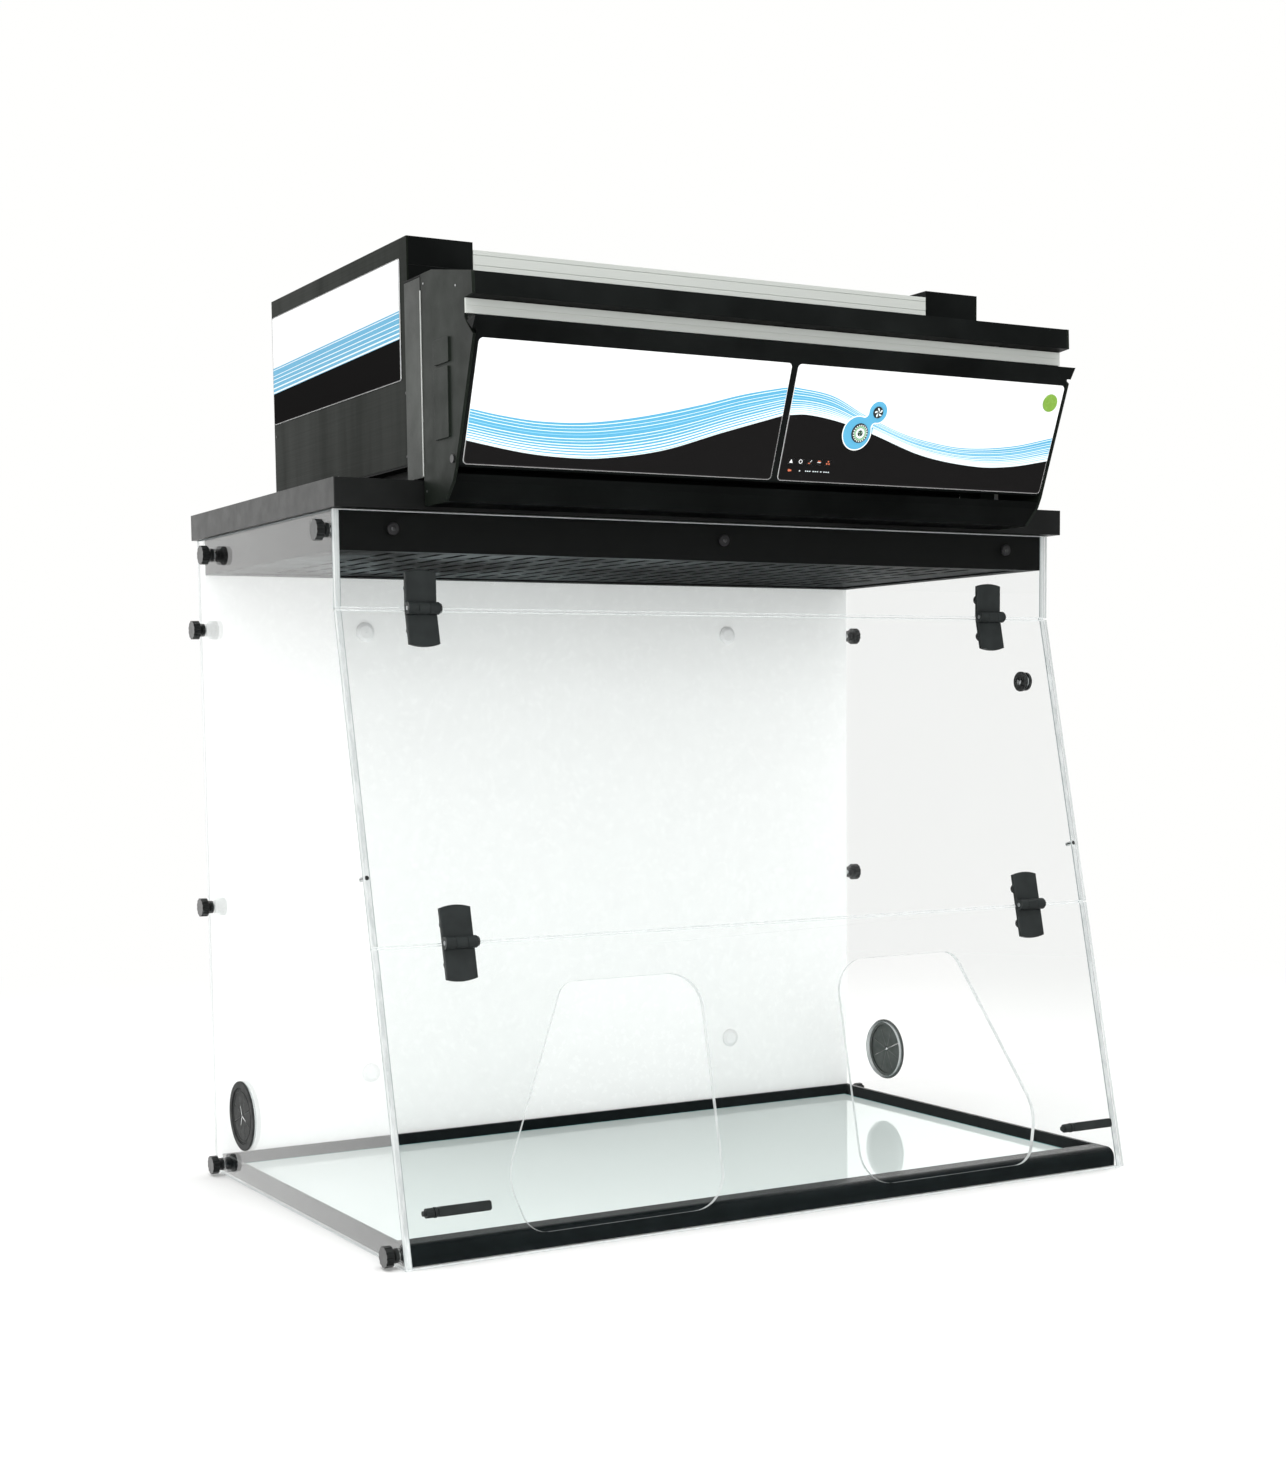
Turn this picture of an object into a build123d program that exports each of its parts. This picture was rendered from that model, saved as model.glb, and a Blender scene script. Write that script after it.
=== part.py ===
from build123d import *
import os
from math import sin, cos, tan, radians

os.makedirs("parts", exist_ok=True)

# ---------------------------------------------------------------- driving dimensions (mm)
# +X is the operator's right, the operator stands on the -Y side, +Z is up, Z = 0 is the bench
DECK_W = 1000.0            # width of the deck slab, the widest sheet-metal part
DECK_Y0, DECK_Y1 = -169.0, 312.0
DECK_Z0, DECK_Z1 = 804.0, 835.0
SHEET = 2.0                # folded sheet gauge of the head
GAP = 0.3                  # assembly gap between neighbouring pieces

ENC_X = 493.5              # outer face of the clear side panels
SIDE_T = 8.0               # clear side panels
IN_X = ENC_X - SIDE_T      # inner face of the side panels
FRONT_T = 6.0              # clear front panels
SIDE_BACK = 309.0          # rear edge of the side panels
FRONT_Y = -150.0           # outer face of the fixed front strip
KINK_Z = 697.5             # height of the upper hinge line
LEAN = 12.6                # lean of the two hinged panels, degrees
HINGE_S = 371.5            # upper hinge line to lower hinge line, measured down the slope
PANEL_END = 712.0          # upper hinge line to the foot of the lower panel
PIVOT = 8.0                # hinge axis in front of the outer faces
CA, SA, TA = cos(radians(LEAN)), sin(radians(LEAN)), tan(radians(LEAN))

BACK_Y, BACK_T = 289.0, 8.0
FILT_Y = 75.0              # centre of the filter stack and of the fan
TRAY_X = IN_X - GAP
TRAY_Y0, TRAY_Y1 = -294.5, 288.7
TRAY_Z0, TRAY_Z1 = 3.0, 25.0
FLOOR_T, GLASS_T = 4.0, 6.0

PLEN_Z = 760.0             # underside of the intake frame
PLEN_X = TRAY_X
PLEN_Y0, PLEN_Y1 = -143.7, 288.7

HEAD_X = 393.3             # outer face of the head's side sheets
HEAD_Y0, HEAD_Y1 = -130.0, 291.0
HEAD_Z0, HEAD_Z1 = 857.0, 1103.0
RAIL_X, RAIL_Z = 313.0, 1072.5
COVER_Z = 1095.0

MOD_X = 397.0              # outer face of the control module's end plates
PLATE_T = 3.5
DOOR_FOOT = (-253.0, 839.5)
DOOR_TOP = (-302.0, 971.0)
DOOR_T, DOOR_WALL = 16.0, 3.0
DOOR_X = 392.8
DOOR_LEN = ((DOOR_TOP[0] - DOOR_FOOT[0]) ** 2 + (DOOR_TOP[1] - DOOR_FOOT[1]) ** 2) ** 0.5
DU = ((DOOR_TOP[0] - DOOR_FOOT[0]) / DOOR_LEN, (DOOR_TOP[1] - DOOR_FOOT[1]) / DOOR_LEN)
DN = (-DU[1], DU[0])       # outward normal of the door's face in (y, z)
DOOR_PIN = 8.0             # pivot above the foot and behind the face

PORT_Y, PORT_Z = 198.0, 88.5       # cable ports in the side panels
PORT_HOLE, PORT_RIM = 40.0, 43.5
SAMPLE_Y, SAMPLE_Z = -109.0, 617.0
CAP_X, CAP_Z = 278.0, (111.5, 691.0)
KNOBS = [(-131.0, 782.0), (251.0, 782.0), (293.0, 692.0), (293.0, 343.0), (281.0, 13.5),
         (-278.0, 13.5)]
HINGE_X = 395.0
LEAF_W, LEAF_L, LEAF_T = 37.0, 41.0, 5.0
STUD_X, STUD_S = 10.0, 22.0        # hinge studs from the leaf's centre and from the axis
STOP_S = 294.6
BAR_S, BAR_X = 655.0, 434.0

FAN_Z = 952.0
FILT_Z1 = FAN_Z - SHEET - 0.2
WHEEL_R = 148.0

# button places on the door: x and height above the door's foot
POWER = (106.4, 64.6)
SPEED = (126.5, 89.6)
LAMP = (374.0, 115.5)
ICONS = [(20.0, 28.0), (33.0, 28.0), (46.0, 28.0), (58.5, 28.0), (71.0, 28.0)]

# ---------------------------------------------------------------- planes and helpers
UP = Plane(origin=(0, FRONT_Y, KINK_Z), x_dir=(1, 0, 0), z_dir=(0, -1, 0))
SLOPE = Plane(origin=(0, FRONT_Y, KINK_Z), x_dir=(1, 0, 0), z_dir=(0, -CA, SA))
DOOR = Plane(origin=(0, DOOR_FOOT[0], DOOR_FOOT[1]), x_dir=(1, 0, 0), z_dir=(0, DN[0], DN[1]))
AX1 = (FRONT_Y - PIVOT, KINK_Z + PIVOT * (1 - CA) / SA)
AX1_UP = AX1[1] - KINK_Z
AX1_DN = PIVOT * (1 - CA) / SA
AX2 = (FRONT_Y - SA * HINGE_S - CA * PIVOT, KINK_Z - CA * HINGE_S + SA * PIVOT)


def side_plane(x):
    """sketch plane across X: local x runs along +Y, local y along +Z, extrudes along +X"""
    return Plane(origin=(x, 0, 0), x_dir=(0, 1, 0), z_dir=(1, 0, 0))


def on(plane, x, y, n=0.0):
    """a plane parallel to `plane` at the local point"""
    spot = plane.origin + plane.x_dir * x + plane.y_dir * y + plane.z_dir * n
    return Plane(origin=spot, x_dir=plane.x_dir, z_dir=plane.z_dir)


def save(part, name):
    part.label = name
    export_step(part, "parts/" + name + ".step")


# ================================================================ enclosure
with BuildPart() as base_sheet:
    with BuildSketch(Plane.XY):
        with Locations((0, (-298.3 + 297.0) / 2)):
            RectangleRounded(2 * TRAY_X, 595.3, 3)
    extrude(amount=2.8)
save(base_sheet.part, "base_sheet")

# moulded spill tray: dished floor, sloping side and back rims, flat front rail with a round nose
with BuildPart() as spill_tray:
    with BuildSketch(Plane.XY.offset(TRAY_Z0)):
        with Locations((0, (TRAY_Y0 + TRAY_Y1) / 2)):
            Rectangle(2 * TRAY_X, TRAY_Y1 - TRAY_Y0)
    extrude(amount=TRAY_Z1 - TRAY_Z0)
    nose = spill_tray.edges().filter_by(Axis.X).sort_by(Axis.Y)[0:2].sort_by(Axis.Z)
    fillet(nose[1], 13)
    inner_top = (2 * (TRAY_X - 5), TRAY_Y1 - 5 - (TRAY_Y0 + 34))
    inner_low = (2 * (TRAY_X - 15), TRAY_Y1 - 15 - (TRAY_Y0 + 40))
    with BuildSketch(Plane.XY.offset(TRAY_Z0 + FLOOR_T + GLASS_T)):
        with Locations((0, (TRAY_Y1 - 15 + TRAY_Y0 + 40) / 2)):
            Rectangle(*inner_low)
    with BuildSketch(Plane.XY.offset(TRAY_Z1 + 0.01)):
        with Locations((0, (TRAY_Y1 - 5 + TRAY_Y0 + 34) / 2)):
            Rectangle(*inner_top)
    loft(mode=Mode.SUBTRACT)
    with BuildSketch(Plane.XY.offset(TRAY_Z0 + FLOOR_T)):
        with Locations((0, (TRAY_Y1 - 15 + TRAY_Y0 + 40) / 2)):
            Rectangle(*inner_low)
    extrude(amount=GLASS_T + 1, mode=Mode.SUBTRACT)
    for y, z in KNOBS[4:]:
        for s in (-1, 1):
            with Locations(Pos(s * (TRAY_X - 6), y, z) * Rot(0, 90, 0)):
                Cylinder(2.6, 12.02, mode=Mode.SUBTRACT)
save(spill_tray.part, "spill_tray")

with BuildPart() as work_glass:
    with BuildSketch(Plane.XY.offset(TRAY_Z0 + FLOOR_T)):
        with Locations((0, (TRAY_Y1 - 15 + TRAY_Y0 + 40) / 2)):
            RectangleRounded(inner_low[0] - 0.6, inner_low[1] - 0.6, 2)
    extrude(amount=GLASS_T)
    chamfer(work_glass.faces().sort_by(Axis.Z)[-1].edges(), 0.8)
save(work_glass.part, "work_glass")


def side_outline():
    """outline of a clear side panel in (y, z)"""
    yf = FRONT_Y + FRONT_T + GAP
    zk = KINK_Z - FRONT_T * (1 - CA) / SA
    return [(SIDE_BACK, 0), (SIDE_BACK, DECK_Z0 - 0.2), (yf, DECK_Z0 - 0.2), (yf, zk), (yf - zk * TA, 0)]


def side_panel(x0, sample):
    """clear side panel with its screw holes, cable port and, on one side, the sampling port"""
    with BuildPart() as p:
        with BuildSketch(side_plane(x0)):
            with BuildLine():
                Polyline(*side_outline(), close=True)
            make_face()
            for y, z in KNOBS:
                with Locations((y, z)):
                    Circle(3.0, mode=Mode.SUBTRACT)
            with Locations((PORT_Y, PORT_Z)):
                Circle(PORT_HOLE, mode=Mode.SUBTRACT)
            if sample:
                with Locations((SAMPLE_Y, SAMPLE_Z)):
                    Circle(9.0, mode=Mode.SUBTRACT)
        extrude(amount=SIDE_T)
        long_edges = p.edges().filter_by(lambda e: e.length > 100)
        chamfer(long_edges, 0.6)
        n_in = -FRONT_T - GAP
        with Locations(on(SLOPE, x0 + SIDE_T / 2, -STOP_S, n_in - 6).location):
            Cylinder(2.55, 12.1, mode=Mode.SUBTRACT)
    return p.part


with BuildPart() as side_left:
    add(side_panel(-ENC_X, False))
save(side_left.part, "side_left")
with BuildPart() as side_right:
    add(side_panel(IN_X, True))
save(side_right.part, "side_right")

with BuildPart() as back_panel:
    with BuildSketch(Plane.XZ.offset(-BACK_Y)):
        with Locations((0, (3.2 + DECK_Z0 - 0.5) / 2)):
            Rectangle(2 * TRAY_X, DECK_Z0 - 0.5 - 3.2)
        for z in CAP_Z:
            with Locations((-CAP_X, z), (CAP_X, z)):
                Circle(4.1, mode=Mode.SUBTRACT)
    extrude(amount=-BACK_T)
    for y, z in KNOBS[2:4]:
        for s in (-1, 1):
            with Locations(Pos(s * (TRAY_X - 6), BACK_Y + BACK_T / 2, z) * Rot(0, 90, 0)):
                Cylinder(2.6, 12.02, mode=Mode.SUBTRACT)
save(back_panel.part, "back_panel")

# domed caps on the back panel, each clipped through on a stem with a rear washer
with BuildPart() as back_caps:
    for x in (-CAP_X, CAP_X):
        for z in CAP_Z:
            with BuildSketch(Plane(origin=(x, 0, z), x_dir=(1, 0, 0), z_dir=(0, 0, 1))):
                with BuildLine():
                    Polyline((0, 284.4), (8.0, 285.0), (12.3, 287.4), (12.3, BACK_Y - 0.02),
                             (4.0, BACK_Y - 0.02), (4.0, 297.04), (8.0, 297.04), (8.0, 298.8), (0, 298.8),
                             close=True)
                make_face()
            revolve(axis=Axis((x, 0, z), (0, 1, 0)))
save(back_caps.part, "back_caps")

# thumb screws: flange, neck, fluted head and shank; low button heads at the right-hand front
with BuildPart() as thumb_knobs:
    for s in (-1, 1):
        for y, z in KNOBS:
            base = Plane(origin=(s * ENC_X, y, z), x_dir=(0, 1, 0), z_dir=(s, 0, 0))
            low_head = s > 0 and y < -100
            with BuildSketch(base.offset(0.05)):
                Circle(5.0 if low_head else 8.0)
            extrude(amount=1.4 if low_head else 4.0)
            if not low_head:
                with BuildSketch(base.offset(4.05)):
                    Circle(5.5)
                extrude(amount=3.2)
                with BuildSketch(base.offset(7.25)):
                    Circle(11.6)
                    with PolarLocations(12.1, 12):
                        Circle(1.5, mode=Mode.SUBTRACT)
                extrude(amount=8.8)
            with BuildSketch(base.offset(-SIDE_T - GAP - 9.5)):
                Circle(2.5)
            extrude(amount=SIDE_T + GAP + 9.55)
save(thumb_knobs.part, "thumb_knobs")


def cable_port(x_out, s):
    """rubber cable port: rim bonded to the outer face, short spigot and an eight-flap slit membrane"""
    base = Plane(origin=(x_out, PORT_Y, PORT_Z), x_dir=(0, 1, 0), z_dir=(s, 0, 0))
    with BuildPart() as p:
        with BuildSketch(base.offset(0.05)):
            Circle(PORT_RIM)
            Circle(PORT_HOLE - 4.5, mode=Mode.SUBTRACT)
        extrude(amount=2.6)
        with BuildSketch(base.offset(-2.4)):
            Circle(PORT_HOLE - 0.2)
            Circle(PORT_HOLE - 4.5, mode=Mode.SUBTRACT)
        extrude(amount=2.6)
        with BuildSketch(base.offset(-0.5)):
            Circle(PORT_HOLE - 4.0)
            for k in range(4):
                Rectangle(2 * 32.0, 0.8, rotation=45.0 * k + 22.5, mode=Mode.SUBTRACT)
        extrude(amount=1.6)
        outer = p.faces().filter_by(Axis.X).sort_by(Axis.X)[-1 if s > 0 else 0]
        fillet(outer.edges().filter_by(GeomType.CIRCLE).sort_by(SortBy.LENGTH)[-1], 1.2)
    return p.part


with BuildPart() as cable_ports:
    add(cable_port(-ENC_X, -1))
    add(cable_port(ENC_X, 1))
save(cable_ports.part, "cable_ports")

# flanged sampling bush with its knurled plug
with BuildPart() as sampling_port:
    bush = Plane(origin=(IN_X, SAMPLE_Y, SAMPLE_Z), x_dir=(0, 1, 0), z_dir=(1, 0, 0))
    with BuildSketch(bush.offset(-3.0)):
        Circle(13.0)
        Circle(5.1, mode=Mode.SUBTRACT)
    extrude(amount=2.95)
    with BuildSketch(bush.offset(-0.1)):
        Circle(8.8)
        Circle(5.1, mode=Mode.SUBTRACT)
    extrude(amount=SIDE_T + 0.2)
    with BuildSketch(bush.offset(SIDE_T + 0.05)):
        Circle(12.0)
        Circle(5.1, mode=Mode.SUBTRACT)
    extrude(amount=2.5)
    with BuildSketch(bush.offset(-4.5)):
        Circle(5.0)
    extrude(amount=SIDE_T + 7.1)
    with BuildSketch(bush.offset(SIDE_T + 2.6)):
        Circle(7.5)
        with PolarLocations(7.8, 16):
            Circle(0.7, mode=Mode.SUBTRACT)
    extrude(amount=4.0)
save(sampling_port.part, "sampling_port")

# catch pins let into the sloping edges of the side panels
with BuildPart() as catch_pins:
    for s in (-1, 1):
        with Locations(on(SLOPE, s * (ENC_X - SIDE_T / 2), -STOP_S, -FRONT_T - GAP - 5.85).location):
            Cylinder(2.5, 11.5)
save(catch_pins.part, "catch_pins")

# ---------------------------------------------------------------- front panels
HINGES = (-HINGE_X, HINGE_X)


def stud_holes(ss):
    """sketch points of the hinge studs for leaves whose centre is s below the local origin"""
    return [(h + dx, -sv) for h in HINGES for dx in (-STUD_X, STUD_X) for sv in ss]


with BuildPart() as top_strip:
    with BuildSketch(UP):
        with Locations((0, (0.8 + DECK_Z0 - 0.2 - KINK_Z) / 2)):
            Rectangle(2 * ENC_X, DECK_Z0 - 1.0 - KINK_Z)
        with Locations((-425, 86.5), (0, 86.5), (425, 86.5)):
            Circle(2.6, mode=Mode.SUBTRACT)
        with Locations(*stud_holes([-AX1_UP - STUD_S])):
            Circle(2.3, mode=Mode.SUBTRACT)
    extrude(amount=-FRONT_T)
    chamfer(top_strip.edges().filter_by(Axis.X), 0.9)
save(top_strip.part, "top_strip")

with BuildPart() as strip_screws:
    for x in (-425, 0, 425):
        with BuildSketch(on(UP, x, 86.5, 0.05)):
            Circle(6.8)
        extrude(amount=3.2)
        with BuildSketch(on(UP, x, 86.5, 0.05)):
            Circle(2.4)
        extrude(amount=-14)
    fillet(strip_screws.faces().sort_by(Axis.Y)[0:3].edges(), 2.0)
    for x in (-425, 0, 425):
        with BuildSketch(on(UP, x, 86.5, 1.9)):
            RegularPolygon(2.0, 6)
        extrude(amount=2.0, mode=Mode.SUBTRACT)
save(strip_screws.part, "strip_screws")

with BuildPart() as upper_panel:
    with BuildSketch(SLOPE):
        with Locations((0, -(0.9 + HINGE_S - 0.75) / 2)):
            Rectangle(2 * ENC_X, HINGE_S - 1.65)
        with Locations(*stud_holes([AX1_DN + STUD_S, HINGE_S - STUD_S])):
            Circle(2.3, mode=Mode.SUBTRACT)
    extrude(amount=-FRONT_T)
    chamfer(upper_panel.edges().filter_by(Axis.X), 0.9)
save(upper_panel.part, "upper_panel")


def hand_port(s):
    """rounded hand port on the slope, s = -1 left, 1 right: upright inner side, raked outer side"""
    pts = [(95, -422), (272, -422), (366, -628), (346, -692), (95, -692)]
    rad = [42, 24, 60, 30, 42]
    out = []
    n = len(pts)
    for i in range(n):
        a, b, c = Vector(*pts[i - 1]), Vector(*pts[i]), Vector(*pts[(i + 1) % n])
        u, v = (a - b).normalized(), (c - b).normalized()
        half = u.get_angle(v) / 2
        d = rad[i] / tan(radians(half))
        m = (u + v).normalized()
        mid = b + m * (rad[i] / sin(radians(half)) - rad[i])
        out.append((b + u * d, mid, b + v * d))
    with BuildLine() as ln:
        for i in range(n):
            p0, p1, p2 = [(s * q.X, q.Y) for q in out[i]]
            q0 = (s * out[(i + 1) % n][0].X, out[(i + 1) % n][0].Y)
            ThreePointArc(p0, p1, p2)
            Line(p2, q0)
    return ln


with BuildPart() as lower_panel:
    with BuildSketch(SLOPE):
        with Locations((0, -(HINGE_S + 0.75 + PANEL_END) / 2)):
            Rectangle(2 * ENC_X, PANEL_END - HINGE_S - 0.75)
        with Locations(*stud_holes([HINGE_S + STUD_S])):
            Circle(2.3, mode=Mode.SUBTRACT)
        for s in (-1, 1):
            with BuildSketch(mode=Mode.SUBTRACT):
                with BuildLine():
                    add(hand_port(s).line)
                make_face()
            with Locations((s * BAR_X - 24, -BAR_S), (s * BAR_X + 28, -BAR_S)):
                Circle(2.7, mode=Mode.SUBTRACT)
    extrude(amount=-FRONT_T)
    chamfer(lower_panel.edges().filter_by(Axis.X).filter_by(lambda e: e.length > 500), 0.9)
save(lower_panel.part, "lower_panel")

# ---------------------------------------------------------------- hinges
def leaf_body(plane, sign, knuckles, axis_v):
    """one hinge leaf lying on `plane`; sign = 1 runs up from the axis, -1 runs down"""
    with BuildPart() as p:
        for h in HINGES:
            with BuildSketch(on(plane, h, axis_v, 0.05)):
                with BuildLine():
                    Polyline((-LEAF_W / 2, sign * 1.0), (-LEAF_W / 2, sign * (LEAF_L - 2)))
                    ThreePointArc((-LEAF_W / 2, sign * (LEAF_L - 2)), (0, sign * (LEAF_L + 1)),
                                  (LEAF_W / 2, sign * (LEAF_L - 2)))
                    Polyline((LEAF_W / 2, sign * (LEAF_L - 2)), (LEAF_W / 2, sign * 1.0),
                             (-LEAF_W / 2, sign * 1.0))
                make_face()
            extrude(amount=LEAF_T - 0.05)
        out = Axis(plane.origin, plane.z_dir)
        top = p.faces().filter_by(out).sort_by(out)[-len(HINGES):]
        chamfer(top.edges(), 1.0)
        for h in HINGES:
            for a, b in knuckles:
                pl = Plane(origin=on(plane, h + a, axis_v, PIVOT).origin, x_dir=plane.y_dir, z_dir=(1, 0, 0))
                with BuildSketch(pl):
                    Circle(7.0)
                extrude(amount=b - a)
        for h in HINGES:
            pl = Plane(origin=on(plane, h - 30, axis_v, PIVOT).origin, x_dir=plane.y_dir, z_dir=(1, 0, 0))
            with BuildSketch(pl):
                Circle(2.55)
            extrude(amount=60, mode=Mode.SUBTRACT)
    return p.part


def leaves(plane, sign, knuckles, others, axis_v):
    """leaves with their knuckles, cleared around the other leaf's knuckles and bored for the studs"""
    with BuildPart() as p:
        add(leaf_body(plane, sign, knuckles, axis_v))
        for h in HINGES:
            for a, b in others:
                pl = Plane(origin=on(plane, h + a, axis_v, PIVOT).origin, x_dir=plane.y_dir, z_dir=(1, 0, 0))
                with BuildSketch(pl):
                    Circle(7.6)
                extrude(amount=b - a, mode=Mode.SUBTRACT)
            for dx in (-STUD_X, STUD_X):
                with BuildSketch(on(plane, h + dx, axis_v + sign * STUD_S, 0)):
                    Circle(2.05)
                extrude(amount=3.2, mode=Mode.SUBTRACT)
    return p.part


OUTER_K = [(-18.7, -7.2), (7.2, 18.7)]
INNER_K = [(-6.8, 6.8)]
OUTER_C = [(-19.1, -6.9), (6.9, 19.1)]
INNER_C = [(-7.2, 7.2)]

with BuildPart() as hinge_leaves_strip:
    add(leaves(UP, 1, OUTER_K, INNER_C, AX1_UP))
save(hinge_leaves_strip.part, "hinge_leaves_strip")
with BuildPart() as hinge_leaves_upper:
    add(leaves(SLOPE, -1, INNER_K, OUTER_C, -AX1_DN))
save(hinge_leaves_upper.part, "hinge_leaves_upper")
with BuildPart() as hinge_leaves_middle:
    add(leaves(SLOPE, 1, OUTER_K, INNER_C, -HINGE_S))
save(hinge_leaves_middle.part, "hinge_leaves_middle")
with BuildPart() as hinge_leaves_lower:
    add(leaves(SLOPE, -1, INNER_K, OUTER_C, -HINGE_S))
save(hinge_leaves_lower.part, "hinge_leaves_lower")


def hinge_pin(axis):
    """pins through the knuckles, each with a domed cap at its right-hand end"""
    with BuildPart() as p:
        for h in HINGES:
            pl = Plane(origin=(h - 18.7, axis[0], axis[1]), x_dir=(0, 1, 0), z_dir=(1, 0, 0))
            with BuildSketch(pl):
                Circle(2.5)
            extrude(amount=37.5)
            with BuildSketch(pl.offset(37.5)):
                Circle(5.6)
            extrude(amount=2.6)
        chamfer(p.faces().filter_by(Axis.X).group_by(SortBy.AREA)[-1].edges().filter_by(GeomType.CIRCLE)
                .group_by(Axis.X)[-1], 0.8)
    return p.part


with BuildPart() as hinge_pins_top:
    add(hinge_pin(AX1))
save(hinge_pins_top.part, "hinge_pins_top")
with BuildPart() as hinge_pins_low:
    add(hinge_pin(AX2))
save(hinge_pins_low.part, "hinge_pins_low")


NUT_R, NUT_H = 6.0, 4.8


def dome_nuts(places):
    """studs with domed nuts on the inside faces; places = [(plane, x, v)]"""
    with BuildPart() as p:
        for plane, x, v in places:
            with BuildSketch(on(plane, x, v, -FRONT_T - 0.05)):
                Circle(2.0)
            extrude(amount=FRONT_T + 3.0)
            with BuildSketch(on(plane, x, v, -FRONT_T - 0.05)):
                Circle(NUT_R)
            extrude(amount=-NUT_H)
        tips = p.edges().filter_by(GeomType.CIRCLE).filter_by(lambda e: abs(e.radius - NUT_R) < 0.01)
        fillet([e for e in tips if is_tip(e, places)], 2.4)
    return p.part


def is_tip(e, places):
    """true when a circular edge lies on the inner end of its nut"""
    c = e.arc_center
    for plane, x, v in places:
        t = on(plane, x, v, -FRONT_T - 0.05 - NUT_H).origin
        if (c - t).length < 0.5:
            return True
    return False


with BuildPart() as nuts_strip:
    add(dome_nuts([(UP, h + dx, AX1_UP + STUD_S) for h in HINGES for dx in (-STUD_X, STUD_X)]))
save(nuts_strip.part, "nuts_strip")
with BuildPart() as nuts_upper:
    add(dome_nuts([(SLOPE, h + dx, v) for h in HINGES for dx in (-STUD_X, STUD_X)
                   for v in (-AX1_DN - STUD_S, -HINGE_S + STUD_S)]))
save(nuts_upper.part, "nuts_upper")
with BuildPart() as nuts_lower:
    add(dome_nuts([(SLOPE, h + dx, -HINGE_S - STUD_S) for h in HINGES for dx in (-STUD_X, STUD_X)]))
save(nuts_lower.part, "nuts_lower")


def pull_bar(xc):
    """short pull bar on two studs: flat grip, collar, knurled end and end bead"""
    with BuildPart() as p:
        with BuildSketch(on(SLOPE, xc + 9, -BAR_S, 4.0)):
            RectangleRounded(62, 11, 3)
        extrude(amount=8)
        out = Axis(SLOPE.origin, SLOPE.z_dir)
        chamfer(p.faces().filter_by(out).sort_by(out)[-1].edges(), 0.8)
        axis = Plane(origin=on(SLOPE, xc - 39.5, -BAR_S, 8.2).origin, x_dir=SLOPE.y_dir, z_dir=(1, 0, 0))
        with BuildSketch(axis):
            Circle(2.9)
        extrude(amount=24)
        with BuildSketch(axis.offset(3.5)):
            Circle(5.3)
            with PolarLocations(5.55, 12, start_angle=7):
                Circle(0.7, mode=Mode.SUBTRACT)
        extrude(amount=8.5)
        with BuildSketch(axis.offset(13.0)):
            Circle(5.8)
        extrude(amount=2.6)
        for dx in (-24, 28):
            with BuildSketch(on(SLOPE, xc + dx, -BAR_S, -5.5)):
                Circle(2.5)
            extrude(amount=5.8)
            with BuildSketch(on(SLOPE, xc + dx, -BAR_S, 0.05)):
                Circle(4.0)
            extrude(amount=4.5)
    return p.part


with BuildPart() as pull_bars:
    add(pull_bar(-BAR_X))
    add(pull_bar(BAR_X))
save(pull_bars.part, "pull_bars")

# ---------------------------------------------------------------- intake under the deck
with BuildPart() as intake_frame:
    cy = (PLEN_Y0 + PLEN_Y1) / 2
    ly = PLEN_Y1 - PLEN_Y0
    with BuildSketch(Plane.XY.offset(PLEN_Z)):
        with Locations((0, cy)):
            Rectangle(2 * PLEN_X, ly)
            Rectangle(2 * PLEN_X - 2 * SHEET, ly - 2 * SHEET, mode=Mode.SUBTRACT)
    extrude(amount=DECK_Z0 - 0.05 - PLEN_Z)
    for z in (PLEN_Z, DECK_Z0 - 0.05 - SHEET):
        with BuildSketch(Plane.XY.offset(z)):
            with Locations((0, cy)):
                Rectangle(2 * PLEN_X, ly)
                Rectangle(2 * PLEN_X - 44, ly - 44, mode=Mode.SUBTRACT)
        extrude(amount=SHEET)
    for y, z in KNOBS[:2]:
        for s in (-1, 1):
            with Locations(Pos(s * (PLEN_X - 3), y, z) * Rot(0, 90, 0)):
                Cylinder(2.6, 10, mode=Mode.SUBTRACT)
    for x in (-425, 0, 425):
        with Locations(Pos(x, PLEN_Y0 + 3, KINK_Z + 86.5) * Rot(90, 0, 0)):
            Cylinder(2.5, 10, mode=Mode.SUBTRACT)
save(intake_frame.part, "intake_frame")

with BuildPart() as intake_plate:
    with BuildSketch(Plane.XY.offset(PLEN_Z + SHEET + 0.05)):
        with Locations((0, cy)):
            Rectangle(2 * PLEN_X - 2 * SHEET - 0.6, ly - 2 * SHEET - 0.6)
            with GridLocations(30, 72, 28, 5):
                SlotOverall(58, 9, rotation=90, mode=Mode.SUBTRACT)
    extrude(amount=SHEET)
save(intake_plate.part, "intake_plate")

with BuildPart() as deck:
    dy = (DECK_Y0 + DECK_Y1) / 2
    dl = DECK_Y1 - DECK_Y0
    with BuildSketch(Plane.XY.offset(DECK_Z0)):
        with Locations((0, dy)):
            Rectangle(DECK_W, dl)
    extrude(amount=DECK_Z1 - DECK_Z0)
    chamfer(deck.edges().filter_by(Axis.Z), 1.0)
    with BuildSketch(Plane.XY.offset(DECK_Z0 + SHEET)):
        with Locations((0, dy)):
            Rectangle(DECK_W - 2 * SHEET, dl - 2 * SHEET)
    extrude(amount=DECK_Z1 - DECK_Z0 - 2 * SHEET, mode=Mode.SUBTRACT)
    with BuildSketch(Plane.XY.offset(DECK_Z0 - 1)):
        with Locations((0, FILT_Y)):
            Rectangle(620, 300)
    extrude(amount=8, mode=Mode.SUBTRACT)
    with BuildSketch(Plane.XY.offset(DECK_Z1 - 8)):
        with Locations((0, FILT_Y)):
            Rectangle(640, 320)
    extrude(amount=10, mode=Mode.SUBTRACT)
save(deck.part, "deck")

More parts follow.
